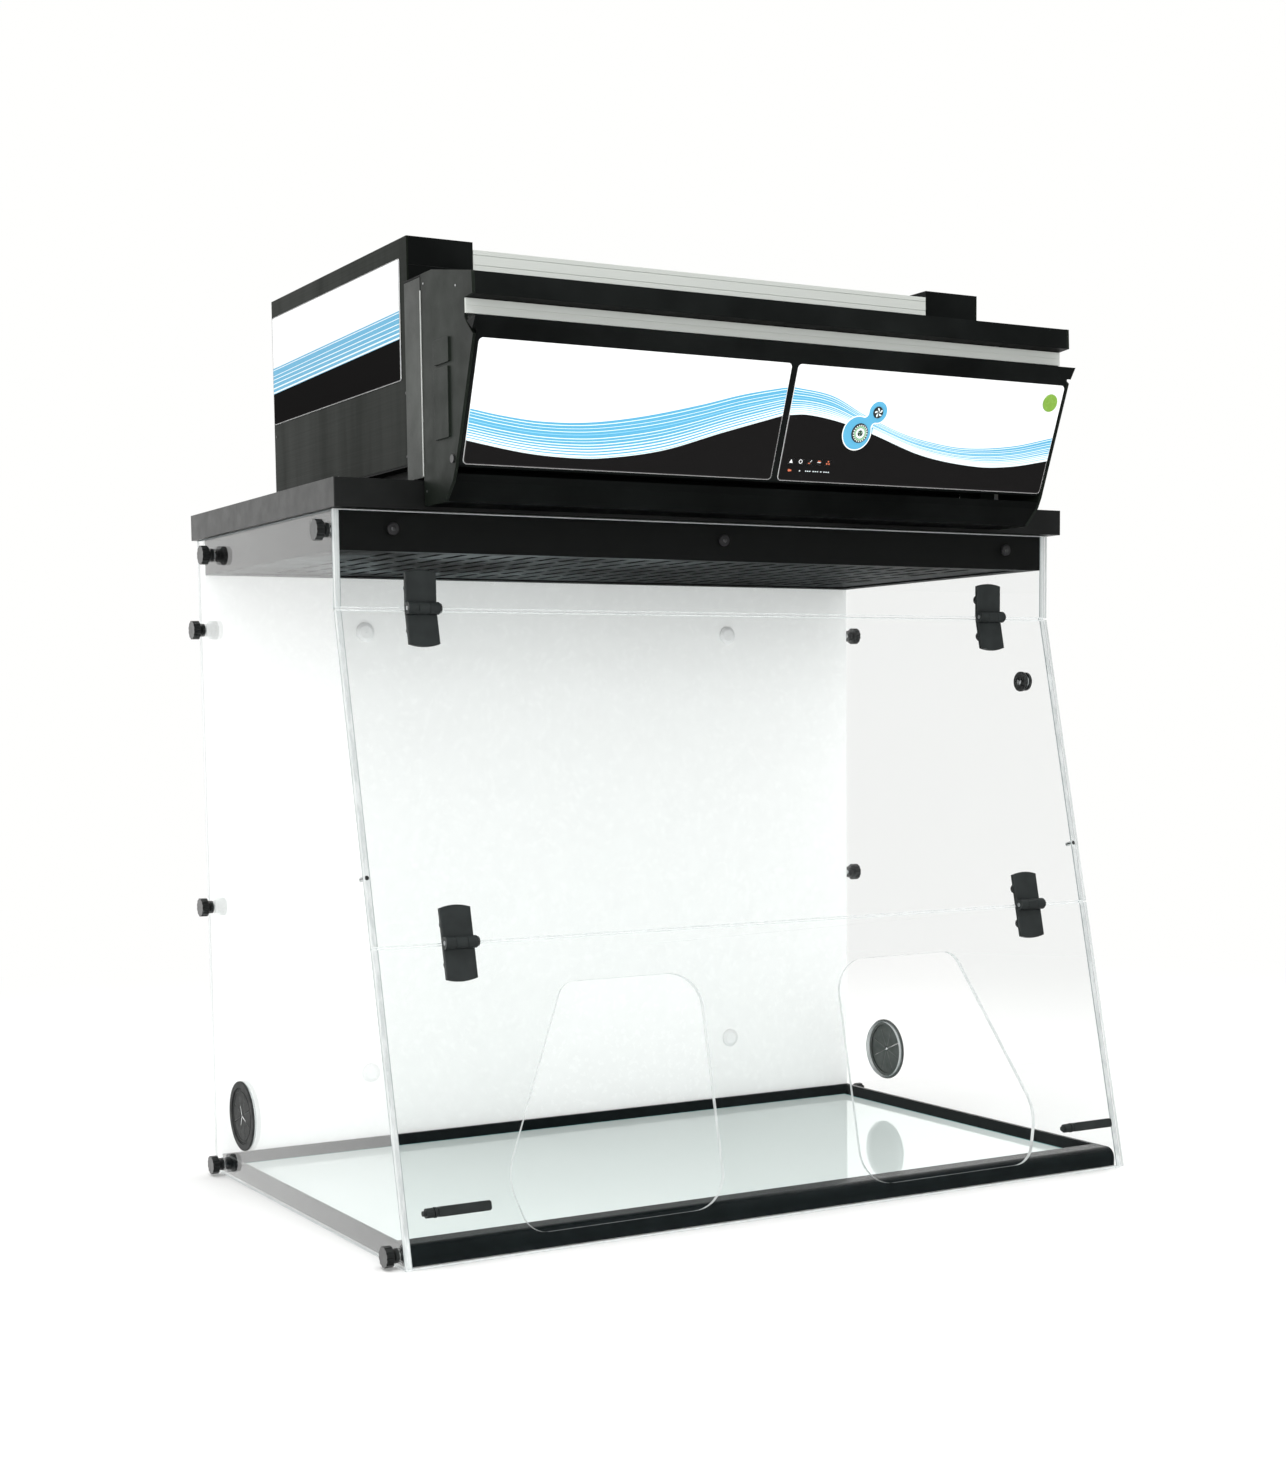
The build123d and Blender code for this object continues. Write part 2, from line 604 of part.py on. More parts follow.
# ================================================================ head
with BuildPart() as head_base:
    with BuildSketch(Plane.XY.offset(DECK_Z1 + 0.05)):
        with Locations((0, 81)):
            Rectangle(750, 402)
            Rectangle(746, 398, mode=Mode.SUBTRACT)
    extrude(amount=HEAD_Z0 - 0.1 - DECK_Z1)
    with BuildSketch(Plane.XY.offset(HEAD_Z0 - 0.05 - SHEET)):
        with Locations((0, (HEAD_Y0 + HEAD_Y1) / 2)):
            Rectangle(2 * HEAD_X - 1, HEAD_Y1 - HEAD_Y0 - 1)
        with Locations((0, 81)):
            Rectangle(720, 372, mode=Mode.SUBTRACT)
    extrude(amount=SHEET)
    with BuildSketch(Plane.XY.offset(DECK_Z1 + 0.05)):
        with Locations((0, 81)):
            Rectangle(750, 402)
            Rectangle(720, 372, mode=Mode.SUBTRACT)
    extrude(amount=SHEET)
save(head_base.part, "head_base")


def head_side(s):
    """side sheet of the head with an inward foot flange"""
    with BuildPart() as p:
        x0 = -HEAD_X if s < 0 else HEAD_X - SHEET
        with BuildSketch(side_plane(x0)):
            with Locations(((HEAD_Y0 + HEAD_Y1) / 2, (HEAD_Z0 + HEAD_Z1) / 2)):
                Rectangle(HEAD_Y1 - HEAD_Y0, HEAD_Z1 - HEAD_Z0)
        extrude(amount=SHEET)
        with Locations((s * (HEAD_X - 12), (HEAD_Y0 + HEAD_Y1) / 2, HEAD_Z0 + SHEET / 2)):
            Box(24, HEAD_Y1 - HEAD_Y0 - 4.4, SHEET)
    return p.part


with BuildPart() as head_sides:
    add(head_side(-1))
    add(head_side(1))
save(head_sides.part, "head_sides")

with BuildPart() as head_back:
    with BuildSketch(Plane.XZ.offset(-(HEAD_Y1 - SHEET))):
        with Locations((0, (HEAD_Z0 + COVER_Z) / 2 - 1.2)):
            Rectangle(2 * (HEAD_X - SHEET - 0.2), COVER_Z - HEAD_Z0 - 2.4)
        with Locations((300, 895)):
            Rectangle(48.6, 27.6, mode=Mode.SUBTRACT)
        with Locations((-150, 1020), (150, 1020)):
            with GridLocations(0, 12, 1, 7):
                SlotOverall(180, 5, mode=Mode.SUBTRACT)
    extrude(amount=-SHEET)
save(head_back.part, "head_back")

with BuildPart() as head_front:
    with BuildSketch(Plane.XZ.offset(-HEAD_Y0)):
        with Locations((0, (HEAD_Z0 + RAIL_Z) / 2)):
            Rectangle(2 * (HEAD_X - SHEET - 0.2), RAIL_Z - HEAD_Z0 - 0.6)
        with Locations((0, 930)):
            Rectangle(690, 134, mode=Mode.SUBTRACT)
    extrude(amount=-SHEET)
save(head_front.part, "head_front")


def side_rail(s):
    """hollow rail along the top of each side, closed at the front by a flat end"""
    with BuildPart() as p:
        xc = s * (HEAD_X - SHEET - 0.2 + RAIL_X) / 2
        w = HEAD_X - SHEET - 0.2 - RAIL_X
        h = HEAD_Z1 - RAIL_Z
        with Locations((xc, (HEAD_Y0 + HEAD_Y1 - 2.3) / 2, RAIL_Z + h / 2)):
            Box(w, HEAD_Y1 - HEAD_Y0 - 2.3, h)
        with Locations((xc, (HEAD_Y0 + HEAD_Y1 - 2.3) / 2, RAIL_Z + h / 2 - SHEET)):
            Box(w - 2 * SHEET, HEAD_Y1 - HEAD_Y0 - 2.3 - 2 * SHEET, h, mode=Mode.SUBTRACT)
    return p.part


with BuildPart() as side_rails:
    add(side_rail(-1))
    add(side_rail(1))
save(side_rails.part, "side_rails")

# bright extruded rail between the two side rails
with BuildPart() as front_rail:
    with BuildSketch(side_plane(-RAIL_X + 0.3)):
        with BuildLine():
            Polyline((HEAD_Y0, 1073), (HEAD_Y0, COVER_Z), (-100, COVER_Z), (-100, COVER_Z - 2.2),
                     (-127.6, COVER_Z - 2.2), (-127.6, 1075.2), (-104, 1075.2), (-104, 1073), close=True)
        make_face()
        for z in (1078.5, 1089.5):
            with Locations((HEAD_Y0, z)):
                Rectangle(1.0, 0.8, mode=Mode.SUBTRACT)
    extrude(amount=2 * RAIL_X - 0.6)
save(front_rail.part, "front_rail")

with BuildPart() as head_cover:
    with BuildSketch(Plane.XY.offset(COVER_Z - SHEET)):
        with Locations((0, (-99.7 + 288.7) / 2)):
            Rectangle(2 * RAIL_X - 0.6, 388.4)
        with Locations((0, FILT_Y)):
            Rectangle(400, 260, mode=Mode.SUBTRACT)
    extrude(amount=SHEET)
save(head_cover.part, "head_cover")

with BuildPart() as exhaust_grille:
    with BuildSketch(Plane.XY.offset(COVER_Z + 0.05)):
        with Locations((0, FILT_Y)):
            RectangleRounded(420, 280, 6)
            with GridLocations(62, 14, 6, 17):
                SlotOverall(54, 7, mode=Mode.SUBTRACT)
    extrude(amount=2.5)
    with BuildSketch(Plane.XY.offset(COVER_Z - 5)):
        with Locations((0, FILT_Y)):
            Rectangle(399, 259)
            Rectangle(394, 254, mode=Mode.SUBTRACT)
    extrude(amount=5.1)
save(exhaust_grille.part, "exhaust_grille")


def side_label(s):
    """thin printed panel on the head's side sheet"""
    with BuildPart() as p:
        x0 = -HEAD_X - 1.0 if s < 0 else HEAD_X + 0.02
        with BuildSketch(side_plane(x0)):
            with Locations((89, 1016)):
                RectangleRounded(398, 132, 3)
        extrude(amount=0.98)
    return p.part


with BuildPart() as side_labels:
    add(side_label(-1))
    add(side_label(1))
save(side_labels.part, "side_labels")

with BuildPart() as mains_inlet:
    inlet = Plane(origin=(300, HEAD_Y1, 895), x_dir=(-1, 0, 0), z_dir=(0, 1, 0))
    with BuildSketch(inlet.offset(0.05)):
        RectangleRounded(58, 34, 3)
    extrude(amount=2.5)
    with BuildSketch(inlet.offset(-26)):
        Rectangle(48, 27)
    extrude(amount=26.1)
    with BuildSketch(inlet.offset(2.6)):
        Polygon((-13, -8), (13, -8), (13, 4), (9, 8), (-9, 8), (-13, 4), align=None)
    extrude(amount=-18, mode=Mode.SUBTRACT)
    for x, y in ((0, 3), (-7, -3), (7, -3)):
        with BuildSketch(on(inlet, x, y, -16)):
            Rectangle(2, 5)
        extrude(amount=14)
save(mains_inlet.part, "mains_inlet")

# ---------------------------------------------------------------- filter stack and fan
with BuildPart() as prefilter:
    with Locations((0, FILT_Y, DECK_Z0 + SHEET + 0.1 + 10)):
        Box(636, 316, 20)
save(prefilter.part, "prefilter")

with BuildPart() as filter_cassette:
    with Locations((0, FILT_Y, (DECK_Z1 + 0.2 + FILT_Z1) / 2)):
        Box(660, 336, FILT_Z1 - DECK_Z1 - 0.2)
        Box(654, 330, FILT_Z1 - DECK_Z1 - 0.2 - 4, mode=Mode.SUBTRACT)
    with BuildSketch(Plane.XY.offset(DECK_Z1)):
        with Locations((0, FILT_Y)):
            with GridLocations(38, 38, 16, 8):
                Rectangle(34, 34)
    extrude(amount=120, mode=Mode.SUBTRACT)
save(filter_cassette.part, "filter_cassette")

with BuildPart() as carbon_bed:
    with Locations((0, FILT_Y, (DECK_Z1 + 0.2 + FILT_Z1) / 2)):
        Box(653.4, 329.4, FILT_Z1 - DECK_Z1 - 0.2 - 4.4)
save(carbon_bed.part, "carbon_bed")

# partition that carries the fan: flanged sheet with an inlet ring and a welded motor bridge
with BuildPart() as fan_partition:
    px = HEAD_X - SHEET - 0.3
    with BuildSketch(Plane.XY.offset(FAN_Z - SHEET)):
        with Locations((0, (-127.7 + 288.7) / 2)):
            Rectangle(2 * px, 416.4)
    extrude(amount=SHEET)
    with BuildSketch(Plane.XY.offset(FAN_Z - SHEET)):
        with Locations((0, (-127.7 + 288.7) / 2)):
            Rectangle(2 * px, 416.4)
            Rectangle(2 * px - 4, 412.4, mode=Mode.SUBTRACT)
    extrude(amount=16)
    with BuildSketch(Plane.XY.offset(FAN_Z)):
        with Locations((0, FILT_Y)):
            Circle(112)
    extrude(amount=4.5)
    with BuildSketch(Plane.XY.offset(FAN_Z - 3)):
        with Locations((0, FILT_Y)):
            Circle(109)
    extrude(amount=20, mode=Mode.SUBTRACT)
    with Locations((0, FILT_Y, 1078.1)):
        Box(372, 70, 4)
    for s in (-1, 1):
        with Locations((s * 184.5, FILT_Y, (FAN_Z - 0.5 + 1080.1) / 2)):
            Box(3, 70, 1080.1 - FAN_Z + 0.5)
save(fan_partition.part, "fan_partition")

# backward-curved wheel: shroud ring, nine blades, back plate, hub and shaft
with BuildPart() as fan_wheel:
    hub = Plane(origin=(0, FILT_Y, 0))
    with BuildSketch(hub.offset(958)):
        Circle(WHEEL_R)
        Circle(118, mode=Mode.SUBTRACT)
    extrude(amount=2)
    with BuildSketch(hub.offset(1018)):
        Circle(WHEEL_R)
    extrude(amount=2)
    with BuildSketch(hub.offset(959)):
        with PolarLocations(0, 9):
            with BuildLine():
                ThreePointArc((96, 0), (126, 22), (142, 62))
                Line((142, 62), (139.6, 62.6))
                ThreePointArc((139.6, 62.6), (123.8, 23.4), (95, 2.2))
                Line((95, 2.2), (96, 0))
            make_face()
    extrude(amount=60)
    with BuildSketch(hub.offset(1000)):
        Circle(26)
    extrude(amount=24)
    with BuildSketch(hub.offset(1000)):
        Circle(6)
    extrude(amount=68)
save(fan_wheel.part, "fan_wheel")

with BuildPart() as fan_motor:
    with BuildSketch(hub.offset(1030)):
        Circle(55)
    extrude(amount=46)
    chamfer(fan_motor.edges().filter_by(GeomType.CIRCLE), 2)
    with BuildSketch(hub.offset(1029)):
        Circle(6.06)
    extrude(amount=42, mode=Mode.SUBTRACT)
    with BuildSketch(hub.offset(1036)):
        with PolarLocations(55, 24):
            Rectangle(3, 2.4, mode=Mode.ADD)
    extrude(amount=34, mode=Mode.SUBTRACT)
save(fan_motor.part, "fan_motor")

# ================================================================ control module
SIDE_OUT = [(-174, 807), (-174, 1053), (-202, 1053), (-301, 1034.6), (-302, 1011.6), (-282.6, 1009.9),
            (-282.6, 990), (-287, 984.6), (-302, 970.6), (-253, 839.5), (-246.5, 827), (-226, 807)]
PIN_Y = DOOR_FOOT[0] + DU[0] * DOOR_PIN - DN[0] * DOOR_PIN
PIN_Z = DOOR_FOOT[1] + DU[1] * DOOR_PIN - DN[1] * DOOR_PIN


def module_side(s):
    """end plate of the control module with its two raised covers"""
    x0 = -MOD_X if s < 0 else MOD_X - PLATE_T
    with BuildPart() as p:
        with BuildSketch(side_plane(x0)):
            with BuildLine():
                Polyline(*SIDE_OUT, close=True)
            make_face()
            with Locations((PIN_Y, PIN_Z)):
                Circle(3.05, mode=Mode.SUBTRACT)
        extrude(amount=PLATE_T)
        with BuildSketch(side_plane(s * MOD_X)):
            with Locations((-226.5, 964)):
                RectangleRounded(38, 26, 2)
            with Locations((-225.5, 910)):
                RectangleRounded(36, 74, 2)
        extrude(amount=s * 2.2)
    return p.part


with BuildPart() as module_side_left:
    add(module_side(-1))
save(module_side_left.part, "module_side_left")
with BuildPart() as module_side_right:
    add(module_side(1))
save(module_side_right.part, "module_side_right")


def corner_post(s):
    """square post that ties the end plate to the head, open towards the inside"""
    with BuildPart() as p:
        with Locations((s * (MOD_X - 15), -151.1, (838 + 1050.4) / 2)):
            Box(30, 41.6, 1050.4 - 838)
        with Locations((s * (MOD_X - 17), -151.1, (838 + 1050.4) / 2)):
            Box(30, 37.6, 1050.4 - 838 - 4, mode=Mode.SUBTRACT)
    return p.part


with BuildPart() as corner_posts:
    add(corner_post(-1))
    add(corner_post(1))
save(corner_posts.part, "corner_posts")

# bright edge strips between the posts and the end plates
with BuildPart() as edge_strips:
    for s in (-1, 1):
        with Locations((s * (MOD_X - 4), -173.0, (839 + 1036) / 2)):
            Box(9.4, 1.7, 197)
save(edge_strips.part, "edge_strips")

with BuildPart() as module_top:
    with BuildSketch(side_plane(-MOD_X + PLATE_T + 0.2)):
        with BuildLine():
            Polyline((-174, 1052.8), (-202, 1052.8), (-301, 1034.4), (-302, 1011.6), (-285.4, 1010.2),
                     (-285.4, 1012.2), (-299.9, 1013.4), (-299.0, 1032.6), (-201.8, 1050.8),
                     (-174, 1050.8), close=True)
        make_face()
    extrude(amount=2 * (MOD_X - PLATE_T - 0.2))
    with Locations((0, (-173.9 - 130.4) / 2, 1051.8)):
        Box(2 * MOD_X, 43.5, 2)
    with Locations((0, -173.95, 1051.8)):
        Box(2 * (MOD_X - PLATE_T - 0.2), 0.6, 2)
save(module_top.part, "module_top")

with BuildPart() as silver_strip:
    with Locations((0, -284.0, 1002)):
        Box(2 * 396.8, 2.0, 15.4)
    with Locations((0, -266.5, 1008.6)):
        Box(2 * 393.2, 33.4, 2.0)
    with Locations((0, -250.8, 1001.8)):
        Box(2 * 393.2, 2.0, 15.0)
    with Locations((0, -285.0, 1002)):
        Box(2 * 397, 0.5, 1.0, mode=Mode.SUBTRACT)
save(silver_strip.part, "silver_strip")

with BuildPart() as module_chin:
    with BuildSketch(side_plane(-MOD_X + PLATE_T + 0.2)):
        with BuildLine():
            Polyline((-251.4, 834.6), (-246.2, 827), (-226, 807.4), (-169.4, 807.4), (-169.4, 833),
                     (-171.4, 833), (-171.4, 809.4), (-225.2, 809.4), (-244.6, 828.2),
                     (-249.0, 834.6), close=True)
        make_face()
    extrude(amount=2 * (MOD_X - PLATE_T - 0.2))
save(module_chin.part, "module_chin")

# ---------------------------------------------------------------- hinged control door
with BuildPart() as control_door:
    with BuildSketch(side_plane(-DOOR_X)):
        with BuildLine():
            f0, u0, n0 = Vector(*DOOR_FOOT), Vector(*DU), Vector(*DN)
            a = f0 + u0 * DOOR_PIN
            b = f0 + u0 * DOOR_PIN - n0 * DOOR_T
            m = f0 + u0 * 0.0 - n0 * DOOR_PIN
            t = f0 + u0 * DOOR_LEN
            r = t - n0 * DOOR_T
            ThreePointArc((b.X, b.Y), (m.X, m.Y), (a.X, a.Y))
            Polyline((a.X, a.Y), (t.X, t.Y), (-303.4, 975.4), (-312, 988), (-290.5, 985.6),
                     (r.X, r.Y), (b.X, b.Y))
        make_face()
    extrude(amount=2 * DOOR_X)
    with BuildSketch(side_plane(-398.4)):
        with BuildLine():
            Polyline((-303.4, 975.4), (-312, 988), (-290.5, 985.6), close=True)
        make_face()
    extrude(amount=2 * 398.4)
    with BuildSketch(DOOR.offset(-DOOR_WALL)):
        with Locations((0, 72)):
            Rectangle(2 * 386.5, 114)
    extrude(amount=-20, mode=Mode.SUBTRACT)
    with BuildSketch(DOOR.offset(-DOOR_WALL)):
        with Locations((14, 42), (166, 42), (14, 106), (166, 106)):
            Circle(3.5)
    extrude(amount=-7.9)
    with BuildSketch(DOOR.offset(-4)):
        with Locations(POWER):
            Circle(11.3)
        with Locations(SPEED):
            Circle(6.8)
        with Locations(LAMP):
            Circle(9.0)
        with Locations(*ICONS):
            Rectangle(8.4, 6.4)
    extrude(amount=8, mode=Mode.SUBTRACT)
    for s in (-1, 1):
        with Locations(Pos(s * (DOOR_X - 6), PIN_Y, PIN_Z) * Rot(0, 90, 0)):
            Cylinder(3.05, 12.2, mode=Mode.SUBTRACT)
save(control_door.part, "control_door")

with BuildPart() as door_pivots:
    for s in (-1, 1):
        with Locations(Pos(s * (MOD_X - 7.3), PIN_Y, PIN_Z) * Rot(0, 90, 0)):
            Cylinder(3.0, 14.8)
        with Locations(Pos(s * (MOD_X + 0.8), PIN_Y, PIN_Z) * Rot(0, 90, 0)):
            Cylinder(4.4, 1.5)
save(door_pivots.part, "door_pivots")


def overlay(x0, x1, controls):
    """thin printed face panel on the door"""
    with BuildPart() as p:
        with BuildSketch(DOOR.offset(0.02)):
            with Locations(((x0 + x1) / 2, 71)):
                RectangleRounded(x1 - x0, 132, 5)
            if controls:
                with Locations(POWER):
                    Circle(11.3, mode=Mode.SUBTRACT)
                with Locations(SPEED):
                    Circle(6.8, mode=Mode.SUBTRACT)
                with Locations(LAMP):
                    Circle(9.0, mode=Mode.SUBTRACT)
                with Locations(*ICONS):
                    Rectangle(8.4, 6.4, mode=Mode.SUBTRACT)
        extrude(amount=0.78)
    return p.part


with BuildPart() as overlay_left:
    add(overlay(-389.5, -2.7, False))
save(overlay_left.part, "overlay_left")
with BuildPart() as overlay_right:
    add(overlay(6.0, 391.0, True))
save(overlay_right.part, "overlay_right")


def push_button(place, r, flange):
    """round key: cap through the face, retaining flange behind it and a stem for the switch"""
    with BuildPart() as p:
        with BuildSketch(on(DOOR, place[0], place[1], -DOOR_WALL - 0.3)):
            Circle(r)
        extrude(amount=DOOR_WALL + 0.3 + 2.2)
        fillet(p.edges().filter_by(GeomType.CIRCLE).sort_by(Axis(DOOR.origin, DOOR.z_dir))[-1], 0.6)
        with BuildSketch(on(DOOR, place[0], place[1], -DOOR_WALL - 0.3)):
            Circle(flange)
        extrude(amount=-1.2)
        with BuildSketch(on(DOOR, place[0], place[1], -DOOR_WALL - 1.4)):
            Circle(2.0)
        extrude(amount=-4.0)
    return p.part


with BuildPart() as power_button:
    add(push_button(POWER, 11.0, 13.4))
save(power_button.part, "power_button")
with BuildPart() as speed_button:
    add(push_button(SPEED, 6.5, 8.4))
save(speed_button.part, "speed_button")

with BuildPart() as status_lamp:
    with BuildSketch(on(DOOR, LAMP[0], LAMP[1], 0.9)):
        Circle(10.5)
    extrude(amount=1.4)
    fillet(status_lamp.edges().filter_by(GeomType.CIRCLE).sort_by(Axis(DOOR.origin, DOOR.z_dir))[-1], 0.7)
    with BuildSketch(on(DOOR, LAMP[0], LAMP[1], -8)):
        Circle(8.8)
    extrude(amount=9)
save(status_lamp.part, "status_lamp")

with BuildPart() as indicator_lamps:
    for place in ICONS:
        with BuildSketch(on(DOOR, place[0], place[1], -10.8)):
            Rectangle(8.0, 6.0)
        extrude(amount=12.0)
save(indicator_lamps.part, "indicator_lamps")

with BuildPart() as control_board:
    with BuildSketch(DOOR.offset(-11.0)):
        with Locations((90, 66)):
            RectangleRounded(164, 92, 2)
    extrude(amount=-1.6)
    with BuildSketch(DOOR.offset(-11.0)):
        with Locations(POWER, SPEED):
            Rectangle(6, 6)
    extrude(amount=1.2)
    with BuildSketch(DOOR.offset(-12.6)):
        with Locations((60, 80), (90, 50), (130, 40)):
            Rectangle(14, 14)
    extrude(amount=-2.2)
save(control_board.part, "control_board")
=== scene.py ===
import math

import bmesh
import bpy
from mathutils import Matrix, Vector


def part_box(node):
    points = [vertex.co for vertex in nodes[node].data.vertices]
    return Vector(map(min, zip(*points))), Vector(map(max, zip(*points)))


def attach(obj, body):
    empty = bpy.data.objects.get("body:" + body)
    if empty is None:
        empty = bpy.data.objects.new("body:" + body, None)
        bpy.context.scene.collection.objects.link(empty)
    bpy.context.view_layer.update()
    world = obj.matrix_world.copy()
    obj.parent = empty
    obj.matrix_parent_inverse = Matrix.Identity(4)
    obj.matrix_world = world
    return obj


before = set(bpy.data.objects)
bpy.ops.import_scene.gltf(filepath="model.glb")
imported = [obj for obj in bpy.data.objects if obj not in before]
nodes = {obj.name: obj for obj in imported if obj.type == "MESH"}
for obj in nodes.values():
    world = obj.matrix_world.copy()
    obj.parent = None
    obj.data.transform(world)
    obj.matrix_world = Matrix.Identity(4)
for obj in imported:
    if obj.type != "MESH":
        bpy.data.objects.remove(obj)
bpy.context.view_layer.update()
MM = 0.001
SIDE_FACE = 0.4935                              # outer face of the clear side panels, metres
SIDE_MID = 0.4895                               # middle of their thickness
SLOPE_OUT = (0, -0.97592, 0.21814)              # outward normal of the leaning front panels
PORT_Y, PORT_Z = 0.198, 0.0885                  # centre of the cable ports
SAMPLE_Y, SAMPLE_Z = -0.109, 0.617              # centre of the sampling port
INLET_X, INLET_Z = 0.3, 0.895                   # centre of the mains inlet
AIM = (0, 0, 0.5)                               # what both lights point at


# ================================================================ shader helpers
class Shader:
    """a small wrapper that builds a node material"""

    def __init__(self, name):
        self.mat = bpy.data.materials.new(name)
        self.mat.use_nodes = True
        self.tree = self.mat.node_tree
        self.tree.nodes.clear()
        self.out = self.tree.nodes.new("ShaderNodeOutputMaterial")
        self.coords = self.add("ShaderNodeTexCoord")

    def put(self, socket, value):
        if isinstance(value, bpy.types.NodeSocket):
            self.tree.links.new(value, socket)
        elif hasattr(socket.default_value, "__len__") and not hasattr(value, "__len__"):
            socket.default_value = [value] * len(socket.default_value)
        else:
            socket.default_value = value

    def add(self, kind, inputs=None, **props):
        node = self.tree.nodes.new(kind)
        for key, value in props.items():
            setattr(node, key, value)
        for key, value in (inputs or {}).items():
            self.put(node.inputs[key], value)
        return node

    def space(self, scale=(1, 1, 1)):
        """object coordinates in metres, stretched by scale"""
        node = self.add("ShaderNodeMapping", {"Vector": self.coords.outputs["Object"], "Scale": scale})
        return node.outputs[0]

    def noise(self, scale, detail=3.0, rough=0.5, stretch=(1, 1, 1)):
        node = self.add("ShaderNodeTexNoise", {"Vector": self.space(stretch), "Scale": scale,
                                               "Detail": detail, "Roughness": rough})
        return node.outputs["Fac"]

    def span(self, value, a, b, lo, hi, smooth=False):
        node = self.add("ShaderNodeMapRange", {"Value": value, "From Min": a, "From Max": b,
                                               "To Min": lo, "To Max": hi})
        if smooth:
            node.interpolation_type = "SMOOTHSTEP"
        return node.outputs[0]

    def calc(self, how, a, b=0.0):
        return self.add("ShaderNodeMath", {0: a, 1: b}, operation=how).outputs[0]

    def blend(self, factor, a, b):
        node = self.tree.nodes.new("ShaderNodeMix")
        node.data_type = "RGBA"
        self.put(node.inputs[0], factor)
        self.put(node.inputs[6], a)
        self.put(node.inputs[7], b)
        return node.outputs[2]

    def bump(self, height, strength, distance, normal=None):
        ins = {"Height": height, "Strength": strength, "Distance": distance}
        if normal is not None:
            ins["Normal"] = normal
        return self.add("ShaderNodeBump", ins).outputs[0]

    def rounded(self, radius):
        """normal with the edges rounded off by radius"""
        return self.add("ShaderNodeBevel", {"Radius": radius}, samples=4).outputs[0]

    def edge_mask(self, normal, gain):
        """1 near the edges and 0 on the flats"""
        geo = self.add("ShaderNodeNewGeometry")
        dot = self.add("ShaderNodeVectorMath", {0: normal, 1: geo.outputs["Normal"]}, operation="DOT_PRODUCT")
        return self.span(dot.outputs["Value"], 1.0 - gain, 0.995, 1.0, 0.0)

    def surface(self, inputs):
        node = self.add("ShaderNodeBsdfPrincipled", inputs)
        self.tree.links.new(node.outputs[0], self.out.inputs[0])
        return node


def rgb(r, g, b):
    return (r, g, b, 1.0)


def tint(colour, k):
    return tuple(min(1.0, c * k) for c in colour[:3]) + (1.0,)


def coat_paint(name, base, rough=(0.36, 0.5), spec=0.3, grain=1500, depth=0.00008, speckle=0.0, wear=0.5,
               vary=0.35, radius=0.0007):
    """powder-coated sheet: fine grain, cloudy tone, worn edges"""
    s = Shader(name)
    round_n = s.rounded(radius)
    cloud = s.span(s.noise(9, 4), 0.35, 0.65, 0, 1)
    colour = s.blend(cloud, tint(base, 1 - vary), tint(base, 1 + vary))
    fine = s.noise(grain, 2, 0.6)
    if speckle:
        dots = s.span(s.noise(grain * 0.75, 2, 0.7), 0.52, 0.68, 0, speckle)
        colour = s.blend(dots, colour, tint(base, 4.5))
    if wear:
        patch = s.span(s.noise(55, 3), 0.42, 0.62, 0.15, 1)
        mask = s.calc("MULTIPLY", s.edge_mask(round_n, 0.25), s.calc("MULTIPLY", patch, wear))
        colour = s.blend(mask, colour, tint(base, 3.2))
    s.surface({"Base Color": colour, "Roughness": s.span(s.noise(42, 4), 0.3, 0.7, *rough),
               "Specular IOR Level": spec, "Normal": s.bump(fine, 0.6, depth, round_n)})
    return s.mat


def brushed(name, base, rough=(0.22, 0.34), stretch=(3, 900, 900), metal=1.0, vary=0.08, smear=None, spec=0.5,
            depth=0.00002):
    """metal brushed along the axis with the small stretch value"""
    s = Shader(name)
    lines = s.noise(1.0, 4, 0.65, stretch)
    colour = s.blend(s.span(lines, 0.3, 0.7, 0, 1), tint(base, 1 - vary), tint(base, 1 + vary))
    if smear:
        streak = s.span(s.noise(1.0, 4, 0.55, smear), 0.35, 0.68, 0, 1)
        colour = s.blend(s.calc("MULTIPLY", streak, 0.3), colour, tint(base, 0.6))
        spec = s.span(streak, 0, 1, spec * 1.2, spec * 0.65)
    s.surface({"Base Color": colour, "Metallic": metal, "Specular IOR Level": spec,
               "Roughness": s.span(lines, 0.3, 0.7, *rough),
               "Normal": s.bump(lines, 0.5, depth, s.rounded(0.0006))})
    return s.mat


def plastic(name, base, rough=(0.3, 0.42), grain=2200, depth=0.00003, spec=0.45, vary=0.12, coat=0.0, radius=0.0005):
    """moulded plastic with a fine grain"""
    s = Shader(name)
    colour = s.blend(s.span(s.noise(60, 3), 0.35, 0.65, 0, 1), tint(base, 1 - vary), tint(base, 1 + vary))
    inputs = {"Base Color": colour, "Roughness": s.span(s.noise(150, 3), 0.3, 0.7, *rough),
              "Specular IOR Level": spec, "Normal": s.bump(s.noise(grain, 2), 0.5, depth, s.rounded(radius))}
    if coat:
        inputs["Coat Weight"] = coat
        inputs["Coat Roughness"] = 0.04
    s.surface(inputs)
    return s.mat


